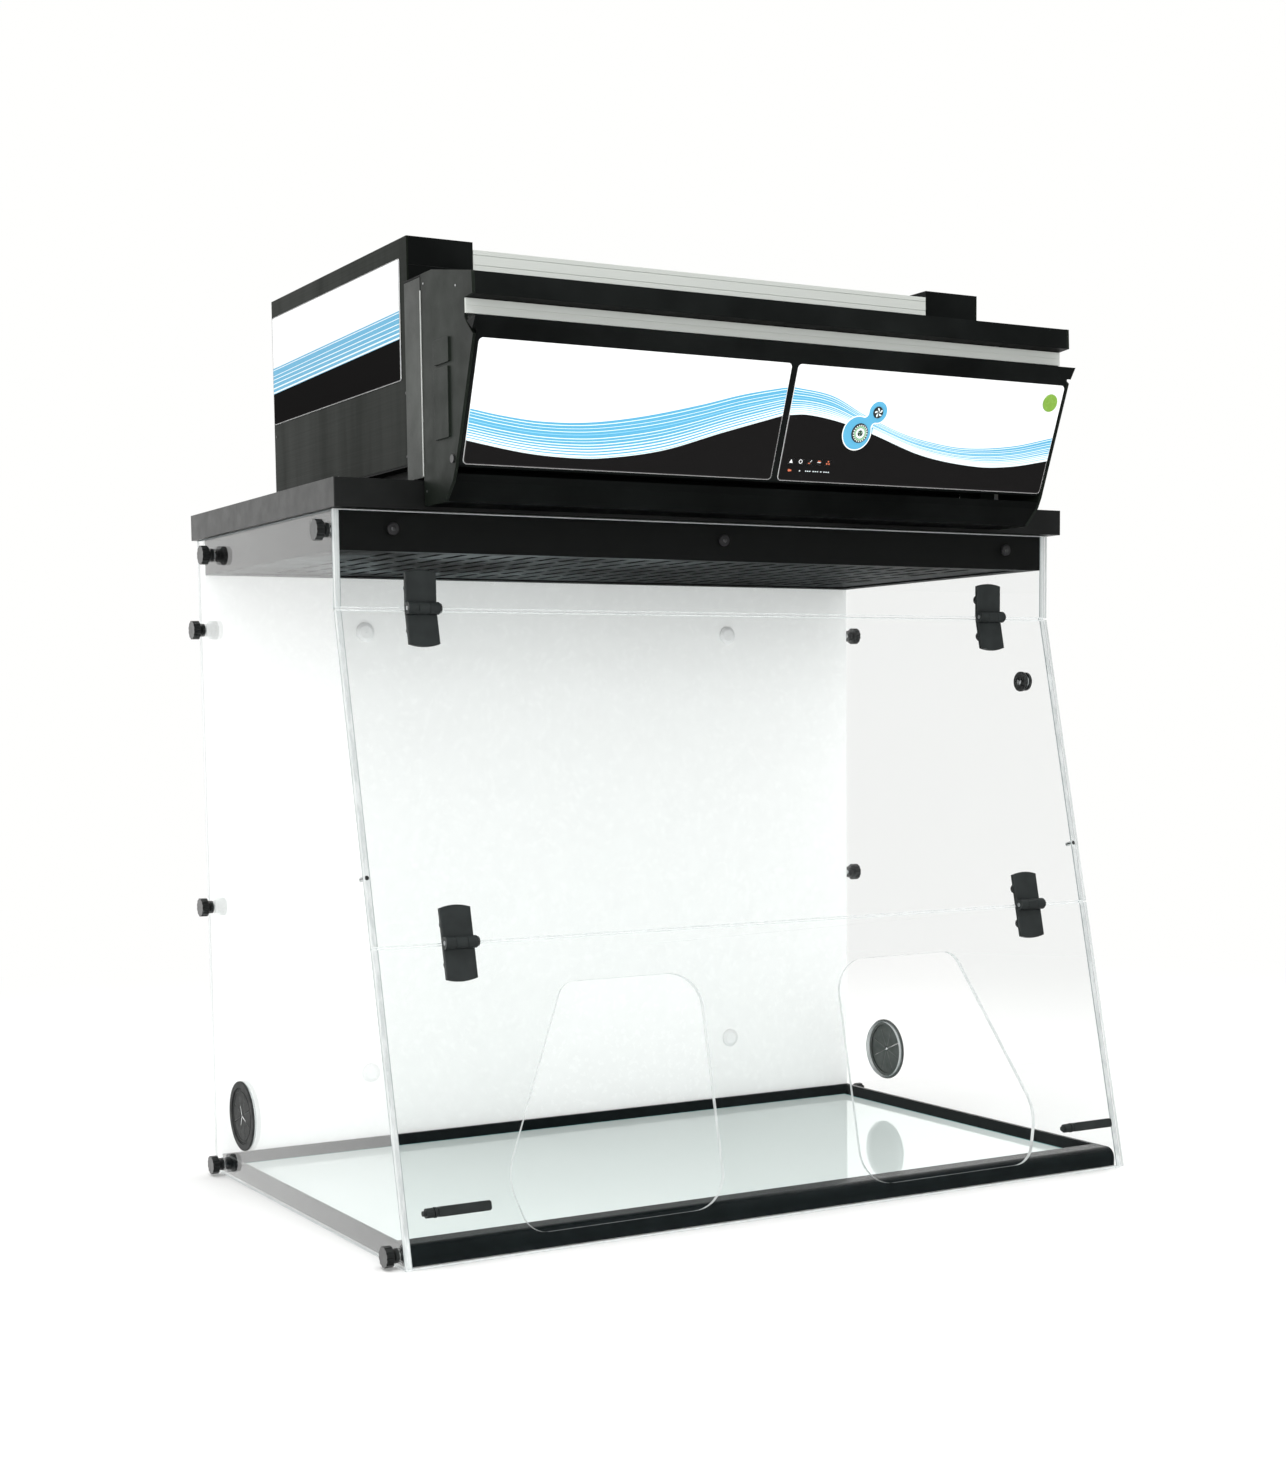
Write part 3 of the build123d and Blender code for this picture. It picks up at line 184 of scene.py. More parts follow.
def clear_sheet(name, base, axis, ior=1.35, haze=(0.0, 0.012)):
    """see-through sheet with frosted sawn edges; axis is the sheet's normal. Shadow and diffuse rays pass straight
    through it"""
    s = Shader(name)
    colour = s.blend(s.noise(3, 2), tint(base, 0.997), tint(base, 1.0))
    glass = s.add("ShaderNodeBsdfPrincipled", {"Base Color": colour, "Transmission Weight": 1.0, "IOR": ior,
                                               "Roughness": s.span(s.noise(24, 5, 0.6), 0.45, 0.75, *haze)})
    streak = s.span(s.noise(1.0, 3, 0.6, (220, 220, 2.5)), 0.42, 0.6, 0, 1)
    pale = s.blend(streak, rgb(0.66, 0.69, 0.69), rgb(0.82, 0.84, 0.84))
    if axis[0]:
        # the two arrises of a side panel's edge are painted darker than its middle, as painted shade
        across = s.add("ShaderNodeSeparateXYZ", {0: s.coords.outputs["Object"]}).outputs[0]
        off = s.calc("ABSOLUTE", s.calc("SUBTRACT", s.calc("ABSOLUTE", across), SIDE_MID))
        pale = s.blend(s.span(off, 0.0026, 0.0034, 0, 1), pale, rgb(0.36, 0.4, 0.41))
    frost = s.add("ShaderNodeBsdfPrincipled", {"Base Color": pale, "Roughness": 0.35, "Specular IOR Level": 0.4})
    thin = s.add("ShaderNodeBsdfTransparent", {"Color": rgb(0.9, 0.93, 0.93)})
    edge = s.add("ShaderNodeMixShader", {0: 0.3, 1: frost.outputs[0], 2: thin.outputs[0]})
    dot = s.add("ShaderNodeVectorMath", {0: s.coords.outputs["Normal"], 1: axis}, operation="DOT_PRODUCT")
    side = s.calc("LESS_THAN", s.calc("ABSOLUTE", dot.outputs["Value"]), 0.95)
    body = s.add("ShaderNodeMixShader", {0: side, 1: glass.outputs[0], 2: edge.outputs[0]})
    path = s.add("ShaderNodeLightPath")
    either = s.calc("MAXIMUM", path.outputs["Is Shadow Ray"], path.outputs["Is Diffuse Ray"])
    free = s.add("ShaderNodeBsdfTransparent", {"Color": rgb(0.985, 0.99, 0.99)})
    mix = s.add("ShaderNodeMixShader", {0: either, 1: body.outputs[0], 2: free.outputs[0]})
    s.tree.links.new(mix.outputs[0], s.out.inputs[0])
    return s.mat


def face_by_normal(s, axis, limit):
    """1 on faces that look along axis in object space, else 0"""
    dot = s.add("ShaderNodeVectorMath", {0: s.coords.outputs["Normal"], 1: axis}, operation="DOT_PRODUCT")
    return s.calc("GREATER_THAN", dot.outputs["Value"], limit)


def ink(name, base, gloss=0.3, spec=0.15):
    """printed film: faint mottle and a satin gloss"""
    s = Shader(name)
    colour = s.blend(s.noise(400, 3), tint(base, 0.96), tint(base, 1.04))
    s.surface({"Base Color": colour, "Roughness": s.span(s.noise(90, 3), 0.3, 0.7, gloss, gloss + 0.08),
               "Specular IOR Level": spec, "Normal": s.bump(s.noise(1800, 2), 0.2, 0.00001)})
    return s.mat


def port_rubber():
    """matt rubber, painted lighter as painted light on the side that faces the work space"""
    s = Shader("port_rubber")
    x = s.add("ShaderNodeSeparateXYZ", {0: s.coords.outputs["Object"]}).outputs[0]
    nx = s.add("ShaderNodeSeparateXYZ", {0: s.coords.outputs["Normal"]}).outputs[0]
    # faces turned towards the work space get a lighter colour: painted light
    inner = s.calc("LESS_THAN", s.calc("MULTIPLY", x, nx), -0.3)
    tone = s.span(s.noise(60, 3), 0.35, 0.65, 0, 1)
    outside = s.blend(tone, rgb(0.022, 0.024, 0.024), rgb(0.034, 0.036, 0.035))
    inside_painted_light = s.blend(tone, rgb(0.075, 0.085, 0.08), rgb(0.105, 0.115, 0.11))
    dust = s.span(s.noise(700, 3, 0.7), 0.56, 0.72, 0, 0.15)
    s.surface({"Base Color": s.blend(dust, s.blend(inner, outside, inside_painted_light), rgb(0.35, 0.36, 0.36)),
               "Roughness": s.span(s.noise(150, 3), 0.3, 0.7, 0.62, 0.78), "Specular IOR Level": 0.3,
               "Normal": s.bump(s.noise(1200, 2), 0.5, 0.00012, s.rounded(0.0005))})
    return s.mat


def intake_paint():
    """black duct; its underside carries a pale haze that grows paler towards the left, and fine bright dust"""
    s = Shader("intake_paint")
    under = face_by_normal(s, (0, 0, -1), 0.9)
    cloud = s.span(s.noise(7, 4, 0.6), 0.38, 0.66, 0, 1)
    across = s.add("ShaderNodeSeparateXYZ", {0: s.coords.outputs["Object"]}).outputs[0]
    # the haze fades from paler on the left to darker on the right
    cloud = s.calc("MULTIPLY", cloud, s.span(across, -0.25, 0.15, 1.0, 0.25, True))
    haze = s.blend(cloud, rgb(0.012, 0.0145, 0.0148), rgb(0.13, 0.15, 0.155))
    dust = s.span(s.noise(2600, 2, 0.7), 0.58, 0.7, 0, 0.3)
    colour = s.blend(under, rgb(0.0052, 0.0058, 0.0056), s.blend(dust, haze, rgb(0.4, 0.42, 0.42)))
    s.surface({"Base Color": colour, "Roughness": s.span(s.noise(30), 0.3, 0.7, 0.5, 0.65),
               "Specular IOR Level": 0.06, "Normal": s.bump(s.noise(1500, 2), 0.3, 0.00001, s.rounded(0.0006))})
    return s.mat


# ================================================================ materials
BLACK = rgb(0.0065, 0.0075, 0.0072)
m = {}
m["powder"] = coat_paint("powder_black", BLACK, spec=0.05, wear=0.35)
# the chin has the same black powder coat as the door, painted darker here as painted shade
m["powder_chin_painted_shade"] = coat_paint("powder_chin_painted_shade", rgb(0.0036, 0.0042, 0.004), spec=0.04, wear=0.3)
m["powder_deck"] = coat_paint("powder_deck", rgb(0.0085, 0.0092, 0.009), rough=(0.34, 0.46), spec=0.37, grain=900,
                              depth=0.00014, speckle=0.1, wear=0.4)
m["powder_post"] = coat_paint("powder_post", rgb(0.016, 0.0205, 0.0165), rough=(0.4, 0.52), spec=0.36, grain=700,
                              depth=0.0002, speckle=0.12, wear=0.4)
m["powder_plate"] = coat_paint("powder_plate", rgb(0.0095, 0.0125, 0.0098), rough=(0.4, 0.52), spec=0.12, grain=900,
                               depth=0.00014, speckle=0.12, wear=0.9)
m["dark_side"] = brushed("dark_side", rgb(0.008, 0.0105, 0.0078), rough=(0.4, 0.5), stretch=(700, 5, 700),
                         metal=0.0, smear=(9, 26, 3.2), spec=0.05, vary=0.2)
m["silver"] = brushed("silver_anodised", rgb(0.66, 0.69, 0.655), rough=(0.3, 0.42), stretch=(2.2, 1100, 1100),
                      metal=0.22, vary=0.025, depth=0.000006)
m["silver_dark"] = brushed("silver_strip_edge", rgb(0.55, 0.57, 0.55), rough=(0.3, 0.4),
                           stretch=(900, 900, 3), metal=0.3)
m["powder_intake"] = intake_paint()
for key, axis in (("acrylic_x", (1, 0, 0)), ("acrylic_y", (0, 1, 0)), ("acrylic_z", (0, 0, 1)),
                  ("acrylic_slope", SLOPE_OUT)):
    m[key] = clear_sheet("clear_" + key, rgb(0.994, 0.999, 0.997), axis)
m["white_panel"] = plastic("white_panel", rgb(0.93, 0.94, 0.935), rough=(0.2, 0.3), vary=0.01, spec=0.4)
m["white_cap"] = plastic("white_cap", rgb(0.84, 0.85, 0.85), rough=(0.2, 0.3), vary=0.02)
m["tray"] = plastic("tray_gloss", rgb(0.006, 0.0085, 0.009), rough=(0.16, 0.26), grain=120, depth=0.000006,
                    spec=0.16, vary=0.15, radius=0.0014)
m["hinge"] = plastic("hinge_nylon", rgb(0.0205, 0.0245, 0.0245), rough=(0.4, 0.52), grain=1600,
                     depth=0.00008, spec=0.4)
m["knob"] = plastic("knob_plastic", rgb(0.011, 0.0125, 0.0125), rough=(0.3, 0.4), spec=0.8)
m["pin"] = brushed("pin_steel", rgb(0.5, 0.51, 0.52), stretch=(900, 900, 5))
m["dark_steel"] = plastic("dark_steel", rgb(0.02, 0.02, 0.021), rough=(0.3, 0.4), spec=0.6)
m["rubber"] = port_rubber()
m["crease"] = plastic("port_crease", rgb(0.17, 0.18, 0.175), rough=(0.6, 0.7), spec=0.2)
# near-white: painted light showing through the slits of the cable ports
m["slit"] = plastic("port_slit", rgb(0.85, 0.87, 0.87), rough=(0.6, 0.7), spec=0.2)
m["film_white"] = ink("film_white", rgb(0.9, 0.915, 0.92))
m["ink_black"] = ink("ink_black", rgb(0.0098, 0.0094, 0.0094), 0.5, 0.0)
m["ink_blue"] = ink("ink_blue", rgb(0.105, 0.40, 0.62))
m["ink_mid"] = ink("ink_mid", rgb(0.36, 0.68, 0.84))
m["ink_pale"] = ink("ink_pale", rgb(0.83, 0.93, 0.96))
m["ink_grey"] = ink("ink_grey", rgb(0.14, 0.135, 0.135))
m["ink_orange"] = ink("ink_orange", rgb(0.62, 0.16, 0.08))
m["ink_green"] = ink("ink_green", rgb(0.3, 0.52, 0.32))
m["key"] = plastic("key_plastic", rgb(0.03, 0.034, 0.034), rough=(0.28, 0.36), coat=0.3)
m["lamp_green"] = plastic("lamp_green", rgb(0.22, 0.4, 0.06), rough=(0.2, 0.3), vary=0.05, coat=0.4)
m["lens"] = plastic("lamp_lens", rgb(0.012, 0.012, 0.012), rough=(0.12, 0.2), coat=0.5)
m["galvanised"] = brushed("galvanised", rgb(0.5, 0.52, 0.53), rough=(0.35, 0.55), stretch=(40, 40, 40), vary=0.18)
m["fan"] = plastic("fan_plastic", rgb(0.03, 0.03, 0.032), rough=(0.35, 0.45))
m["motor"] = brushed("motor_casting", rgb(0.42, 0.43, 0.44), rough=(0.4, 0.55), stretch=(500, 500, 500))


def glass_top():
    """tempered glass painted pale mint on its underside, darker along its ground edges"""
    s = Shader("mint_glass")
    flat = face_by_normal(s, (0, 0, 1), 0.9)
    body = s.blend(s.noise(5, 3), rgb(0.87, 0.965, 0.94), rgb(0.91, 0.985, 0.965))
    colour = s.blend(flat, rgb(0.16, 0.36, 0.35), body)
    s.surface({"Base Color": colour, "Roughness": s.span(s.noise(30, 5, 0.6), 0.4, 0.75, 0.03, 0.11),
               "Specular IOR Level": 0.45, "Coat Weight": 0.4, "Coat Roughness": 0.02, "Coat IOR": 1.5})
    return s.mat


def media(name, base, stretch, scale):
    """pleated or fibrous filter media"""
    s = Shader(name)
    pleat = s.add("ShaderNodeTexWave", {"Vector": s.space(stretch), "Scale": scale, "Distortion": 0.6,
                                        "Detail": 2.0}, wave_type="BANDS", bands_direction="X").outputs["Fac"]
    fibre = s.noise(900, 4, 0.7)
    colour = s.blend(pleat, tint(base, 0.7), base)
    s.surface({"Base Color": s.blend(fibre, tint(base, 0.92), colour), "Roughness": 0.85,
               "Specular IOR Level": 0.2, "Normal": s.bump(s.calc("ADD", pleat, s.calc("MULTIPLY", fibre, 0.2)),
                                                           0.8, 0.002)})
    return s.mat


def granules():
    """loose carbon granules"""
    s = Shader("carbon_granules")
    cells = s.add("ShaderNodeTexVoronoi", {"Vector": s.space(), "Scale": 320.0})
    colour = s.blend(cells.outputs["Distance"], rgb(0.05, 0.05, 0.052), rgb(0.004, 0.004, 0.004))
    s.surface({"Base Color": colour, "Roughness": 0.6, "Specular IOR Level": 0.4,
               "Normal": s.bump(cells.outputs["Distance"], 1.0, 0.0015)})
    return s.mat


def solder_mask():
    """green board with pale tracks under the lacquer"""
    s = Shader("solder_mask")
    brick = s.add("ShaderNodeTexBrick", {"Vector": s.space(), "Scale": 90.0, "Mortar Size": 0.03,
                                         "Color1": rgb(0.012, 0.09, 0.04), "Color2": rgb(0.014, 0.11, 0.05),
                                         "Mortar": rgb(0.05, 0.24, 0.11)})
    s.surface({"Base Color": brick.outputs[0], "Roughness": s.span(s.noise(80), 0.3, 0.7, 0.2, 0.35),
               "Specular IOR Level": 0.5, "Normal": s.bump(brick.outputs["Fac"], 0.3, 0.0001)})
    return s.mat


m["glass_top"] = glass_top()
m["prefilter"] = media("prefilter_pleats", rgb(0.72, 0.72, 0.69), (1, 0.001, 0.001), 60.0)
m["carbon"] = granules()
m["board"] = solder_mask()

USES = {
    "acrylic_x": "side_left side_right", "acrylic_y": "top_strip", "acrylic_z": "base_sheet",
    "acrylic_slope": "upper_panel lower_panel",
    "glass_top": "work_glass", "white_panel": "back_panel", "white_cap": "back_caps", "tray": "spill_tray",
    "powder": "head_front head_base head_back head_cover exhaust_grille module_top control_door "
              "side_rails",
    "powder_chin_painted_shade": "module_chin", "powder_deck": "deck", "powder_post": "corner_posts",
    "powder_plate": "module_side_left module_side_right",
    "powder_intake": "intake_frame intake_plate", "dark_side": "head_sides",
    "silver": "front_rail silver_strip", "silver_dark": "edge_strips",
    "hinge": "hinge_leaves_strip hinge_leaves_upper hinge_leaves_middle hinge_leaves_lower pull_bars",
    "knob": "thumb_knobs sampling_port mains_inlet", "dark_steel": "strip_screws door_pivots catch_pins "
                                                                  "nuts_strip nuts_upper nuts_lower",
    "pin": "hinge_pins_top hinge_pins_low", "rubber": "cable_ports",
    "film_white": "overlay_left overlay_right side_labels",
    "key": "power_button speed_button", "lamp_green": "status_lamp", "lens": "indicator_lamps",
    "galvanised": "filter_cassette fan_partition", "fan": "fan_wheel", "motor": "fan_motor",
    "prefilter": "prefilter", "carbon": "carbon_bed", "board": "control_board",
}
for key, names in USES.items():
    for n in names.split():
        nodes[n].data.materials.clear()
        nodes[n].data.materials.append(m[key])


# ================================================================ geometry helpers
class Place:
    """a local frame: a and b run over the surface and n points out of it, all in millimetres"""

    def __init__(self, origin, a, b, n):
        self.o, self.a, self.b, self.n = Vector(origin), Vector(a), Vector(b), Vector(n)

    def at(self, a, b, n=0.0):
        return self.o + (self.a * a + self.b * b + self.n * n) * MM


def finish_mesh(name, bm, material, body, smooth=False):
    """turns a bmesh into a piece that rides on a body"""
    bmesh.ops.recalc_face_normals(bm, faces=bm.faces[:])
    mesh = bpy.data.meshes.new(name)
    bm.to_mesh(mesh)
    bm.free()
    if smooth:
        for poly in mesh.polygons:
            poly.use_smooth = True
    mesh.materials.append(material)
    obj = bpy.data.objects.new(name, mesh)
    bpy.context.scene.collection.objects.link(obj)
    if smooth:
        mod = obj.modifiers.new("edges", "EDGE_SPLIT")
        mod.split_angle = math.radians(40)
    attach(obj, body)
    return obj


def film(name, place, shapes, thick, material, body, n0=0.0):
    """thin printed shapes on a surface; shapes = [[outer loop, hole, hole ...], ...] of (a, b) in mm"""
    bm = bmesh.new()
    for loops in shapes:
        curve = bpy.data.curves.new("outline", "CURVE")
        curve.dimensions = "2D"
        curve.fill_mode = "BOTH"
        curve.extrude = thick / 2
        for loop in loops:
            spline = curve.splines.new("POLY")
            spline.points.add(len(loop) - 1)
            for point, (a, b) in zip(spline.points, loop):
                point.co = (a, b, 0, 1)
            spline.use_cyclic_u = True
        temp = bpy.data.objects.new("outline", curve)
        bpy.context.scene.collection.objects.link(temp)
        mesh = bpy.data.meshes.new_from_object(temp)
        for v in mesh.vertices:
            v.co = place.at(v.co.x, v.co.y, n0 + thick / 2 + v.co.z)
        bm.from_mesh(mesh)
        bpy.data.objects.remove(temp)
        bpy.data.meshes.remove(mesh)
        bpy.data.curves.remove(curve)
    bmesh.ops.remove_doubles(bm, verts=bm.verts[:], dist=1e-7)
    return finish_mesh(name, bm, material, body)


def lathe(bm, place, a, b, profile, segs=24, n0=0.0):
    """adds a turned shape; profile = [(radius, height), ...] from the surface outwards, in mm"""
    rings = []
    for r, h in profile:
        if r == 0:
            rings.append([bm.verts.new(place.at(a, b, n0 + h))])
            continue
        ring = []
        for k in range(segs):
            t = 2 * math.pi * k / segs
            ring.append(bm.verts.new(place.at(a + r * math.cos(t), b + r * math.sin(t), n0 + h)))
        rings.append(ring)
    for low, high in zip(rings, rings[1:]):
        for k in range(max(len(low), len(high))):
            j = (k + 1) % segs
            if len(low) == 1:
                bm.faces.new((low[0], high[k], high[j]))
            elif len(high) == 1:
                bm.faces.new((low[k], low[j], high[0]))
            else:
                bm.faces.new((low[k], low[j], high[j], high[k]))


def circle(a, b, r, segs=48):
    return [(a + r * math.cos(2 * math.pi * k / segs), b + r * math.sin(2 * math.pi * k / segs))
            for k in range(segs)]


def rounded_rect(a0, b0, a1, b1, r, segs=8):
    loop = []
    for ca, cb, t0 in ((a1 - r, b0 + r, -90), (a1 - r, b1 - r, 0), (a0 + r, b1 - r, 90), (a0 + r, b0 + r, 180)):
        for k in range(segs + 1):
            t = math.radians(t0 + 90 * k / segs)
            loop.append((ca + r * math.cos(t), cb + r * math.sin(t)))
    return loop


def through(points, x):
    """smooth curve through points sorted by x, read at x"""
    n = len(points)
    k = 0
    while k < n - 2 and x > points[k + 1][0]:
        k += 1

    def slope(i):
        lo, hi = max(0, i - 1), min(n - 1, i + 1)
        return (points[hi][1] - points[lo][1]) / (points[hi][0] - points[lo][0])

    (x0, y0), (x1, y1) = points[k], points[k + 1]
    h = x1 - x0
    t = (x - x0) / h
    return ((2 * t ** 3 - 3 * t ** 2 + 1) * y0 + (t ** 3 - 2 * t ** 2 + t) * h * slope(k)
            + (-2 * t ** 3 + 3 * t ** 2) * y1 + (t ** 3 - t ** 2) * h * slope(k + 1))


# ================================================================ printed face panels on the door
RUN, RISE = -49.0, 131.5                        # foot to top of the door's face, as in the CAD
LONG = math.hypot(RUN, RISE)
UP_DOOR = Vector((0, RUN / LONG, RISE / LONG))
OUT_DOOR = Vector((0, -RISE / LONG, RUN / LONG))
FILM_U0, FILM_T = 5.0, 0.78                      # lower edge of the face panels above the foot, thickness
low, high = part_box("overlay_left")
foot = Vector((0, high.y, low.z)) + Vector((0, OUT_DOOR.y * FILM_T * MM, 0)) - UP_DOOR * FILM_U0 * MM
door = Place(foot, (1, 0, 0), UP_DOOR, OUT_DOOR)  # n = 0 is the outer face of the panels
low_r, high_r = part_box("overlay_right")
LEFT = (low.x / MM, high.x / MM)
RIGHT = (low_r.x / MM, high_r.x / MM)
U0 = FILM_U0

TOP_L = [(-390.9, 63.7), (-352.8, 58.4), (-304.5, 54.7), (-247.6, 56.8), (-183.2, 66.9), (-109.8, 84.4),
         (-60.4, 98.3), (-9.5, 109.1), (6, 111)]
LOW_L = [(-392.3, 31), (-323.4, 21.2), (-274, 18.2), (-225, 19.5), (-151.1, 31.7), (-77.7, 55.5), (-1.4, 79.3)]
TOP_R = [(-2, 110.6), (6.3, 110.9), (59.6, 104.4), (108.2, 85.7), (167.7, 67.1), (215, 58.6), (264.3, 54.8),
         (332, 60.6), (391.3, 73.9)]
LOW_R = [(-2, 79.3), (4.1, 79.9), (29.3, 81.8), (72, 76.8), (122.1, 65.4), (203.1, 43.1), (285.4, 34.1),
         (339.2, 36.9), (392.1, 46.3)]
# white lines in the band: share of the way down at the start, middle and end, and width in mm
LINES = [(0.07, 0.08, 0.07, 0.8, "ink_pale"), (0.16, 0.18, 0.20, 0.5, "ink_pale"),
         (0.26, 0.27, 0.30, 0.7, "ink_pale"), (0.36, 0.35, 0.38, 0.5, "ink_mid"),
         (0.46, 0.46, 0.44, 0.9, "ink_pale"), (0.55, 0.54, 0.52, 0.6, "ink_pale"),
         (0.63, 0.63, 0.60, 1.0, "ink_pale"), (0.71, 0.71, 0.70, 1.1, "ink_pale"),
         (0.79, 0.79, 0.78, 1.5, "ink_pale"), (0.87, 0.87, 0.86, 1.6, "ink_pale"),
         (0.95, 0.95, 0.95, 1.8, "ink_pale")]
POWER, SPEED = (106.4, 64.6), (126.5, 89.6)     # centres of the two keys
ICONS = [(20.0, 28.0), (33.0, 28.0), (46.0, 28.0), (58.5, 28.0), (71.0, 28.0)]
STEPS = 72


def lens(place_a, place_b, r_a, r_b, r_neck, segs=40):
    """outline of two discs joined by a waisted neck"""
    a, b = Vector(place_a), Vector(place_b)
    d = (b - a).length
    ux = (b - a) / d
    uy = Vector((-ux.y, ux.x))
    da, db = r_a + r_neck, r_b + r_neck
    x = (da * da - db * db + d * d) / (2 * d)
    h = math.sqrt(da * da - x * x)
    ang_a = math.atan2(h, x)
    ang_b = math.atan2(h, x - d)
    loop = []
    for k in range(segs + 1):                    # round the first disc, away from the neck
        t = ang_a + (2 * math.pi - 2 * ang_a) * k / segs
        loop.append(a + ux * r_a * math.cos(t) + uy * r_a * math.sin(t))
    for side in (-1, 1):
        centre = a + ux * x + uy * h * side
        t0 = math.atan2(-h * side, -x)
        t1 = math.atan2(-h * side, d - x)
        start, end = (t0, t1) if side < 0 else (t1, t0)
        flank = [start + (end - start) * k / 12 for k in range(1, 12)]
        loop += [centre + ux * r_neck * math.cos(t) + uy * r_neck * math.sin(t) for t in flank]
        if side < 0:
            for k in range(segs + 1):            # round the second disc
                t = -ang_b + 2 * ang_b * k / segs
                loop.append(b + ux * r_b * math.cos(t) + uy * r_b * math.sin(t))
    return [(p.x, p.y) for p in loop]


KEEP = [(POWER, 14.5), (SPEED, 8.4)]              # print stops short of the keys, under the keypad's own film


def clear_of_keys(x, u):
    return all(math.hypot(x - c[0], u - c[1]) >= r for c, r in KEEP)


def runs(points):
    """splits a centre line where it crosses a key"""
    out, part = [], []
    for x, u in points:
        if clear_of_keys(x, u):
            part.append((x, u))
        else:
            if len(part) > 1:
                out.append(part)
            part = []
    if len(part) > 1:
        out.append(part)
    return out


def ribbon(points, wide):
    w = wide / 2
    return [[(x, u + w) for x, u in points] + [(x, u - w) for x, u in reversed(points)]]


def dented(points, curve, upward):
    """a boundary that runs along curve and goes round the power key where it meets it"""
    (cx, cy), r = KEEP[0]
    arc = []
    for k in range(-9, 46):
        t = math.radians(180 - 5 * k if upward else 180 + 5 * k)
        x, u = cx + r * math.cos(t), cy + r * math.sin(t)
        if (u > through(curve, x)) == upward:
            arc.append((x, u))
    before = [q for q in points if q[0] < cx and clear_of_keys(*q)]
    after = [q for q in points if q[0] > cx and clear_of_keys(*q)]
    return before + arc + after


def face_print(side, span, top, bottom, holes):
    """band, lines, dark field and outline of one face panel"""
    x0, x1 = span[0] + 0.5, span[1] - 0.5
    xs = [x0 + (x1 - x0) * k / STEPS for k in range(STEPS + 1)]
    r = 4.5
    arc = [(math.cos(math.radians(t)), math.sin(math.radians(t))) for t in range(0, 91, 15)]
    low_edge = [(x, through(bottom, x)) for x in xs]
    keyed = side == "right"
    field = dented(low_edge, bottom, False) if keyed else list(low_edge)
    field += [(x1 - r + r * c, U0 + 0.5 + r - r * s) for c, s in arc]
    field += [(x0 + r - r * s, U0 + 0.5 + r - r * c) for c, s in arc]
    film("field_" + side, door, [[field] + holes], 0.05, m["ink_black"], "door")
    foot_edge = dented(low_edge, bottom, True) if keyed else low_edge
    band = [(x, through(top, x)) for x in xs] + foot_edge[::-1]
    film("band_" + side, door, [[band]], 0.08, m["ink_blue"], "door")
    for tone in ("ink_mid", "ink_pale"):
        strips = []
        for f0, f1, f2, wide, ink_name in LINES:
            if ink_name != tone:
                continue
            share = [(x0, f0), ((x0 + x1) / 2, f1), (x1, f2)]
            mid = []
            for x in xs:
                f = through(share, x)
                mid.append((x, through(top, x) * (1 - f) + through(bottom, x) * f))
            strips += [ribbon(part, wide) for part in runs(mid)]
        film("lines_" + side + "_" + tone[4:], door, strips, 0.1 if tone == "ink_mid" else 0.12, m[tone], "door")
    film("edge_" + side, door, [ribbon(part, 0.9) for part in runs(low_edge)], 0.14, m["ink_pale"], "door")
    # thin grey outline round the dark part
    low_left, low_right = through(bottom, x0), through(bottom, x1)
    outer = [(x1 + 0.35, low_right)] + [(x1 - r + (r + 0.35) * c, U0 + 0.5 + r - (r + 0.35) * s) for c, s in arc]
    outer += [(x0 + r - (r + 0.35) * s, U0 + 0.5 + r - (r + 0.35) * c) for c, s in arc] + [(x0 - 0.35, low_left)]
    inner = [(x1 - 0.45, low_right)] + [(x1 - r + (r - 0.45) * c, U0 + 0.5 + r - (r - 0.45) * s) for c, s in arc]
    inner += [(x0 + r - (r - 0.45) * s, U0 + 0.5 + r - (r - 0.45) * c) for c, s in arc] + [(x0 + 0.45, low_left)]
    film("rule_" + side, door, [[outer + inner[::-1]]], 0.07, m["ink_grey"], "door")


icon_holes = [rounded_rect(a - 4.2, b - 3.2, a + 4.2, b + 3.2, 0.3, 2) for a, b in ICONS]
key_holes = [circle(*POWER, 11.35), circle(*SPEED, 6.85)]
face_print("left", LEFT, TOP_L, LOW_L, [])
face_print("right", RIGHT, TOP_R, LOW_R, icon_holes)
BIG, SMALL = (102.6, 64.4), (126.6, 89.9)
film("keypad_border", door, [[lens(BIG, SMALL, 20.2, 13.6, 4.3)] + key_holes], 0.17, m["film_white"], "door")
film("keypad_field", door, [[lens(BIG, SMALL, 18.9, 12.3, 5.6)] + key_holes], 0.2, m["ink_blue"], "door")

# power key: knurled bezel, green ring, pale disc and a three-blade mark; speed key: a five-blade mark
KEY_N = 1.4                                      # key tops stand this far above the panels
bm = bmesh.new()
for k in range(20):
    t = 2 * math.pi * k / 20
    cx, cy = POWER[0] + 9.3 * math.cos(t), POWER[1] + 9.3 * math.sin(t)
    lathe(bm, door, cx, cy, [(0.75, KEY_N - 0.1), (0.75, KEY_N + 0.25), (0.45, KEY_N + 0.5), (0, KEY_N + 0.55)], 10)
finish_mesh("power_key_beads", bm, m["film_white"], "power_key", smooth=True)
film("power_key_ring", door, [[circle(*POWER, 8.4), circle(*POWER, 6.4)]], 0.2, m["ink_green"], "power_key",
     KEY_N - 0.02)
film("power_key_disc", door, [[circle(*POWER, 6.0), circle(*POWER, 3.6)]], 0.12, m["ink_pale"], "power_key",
     KEY_N - 0.02)


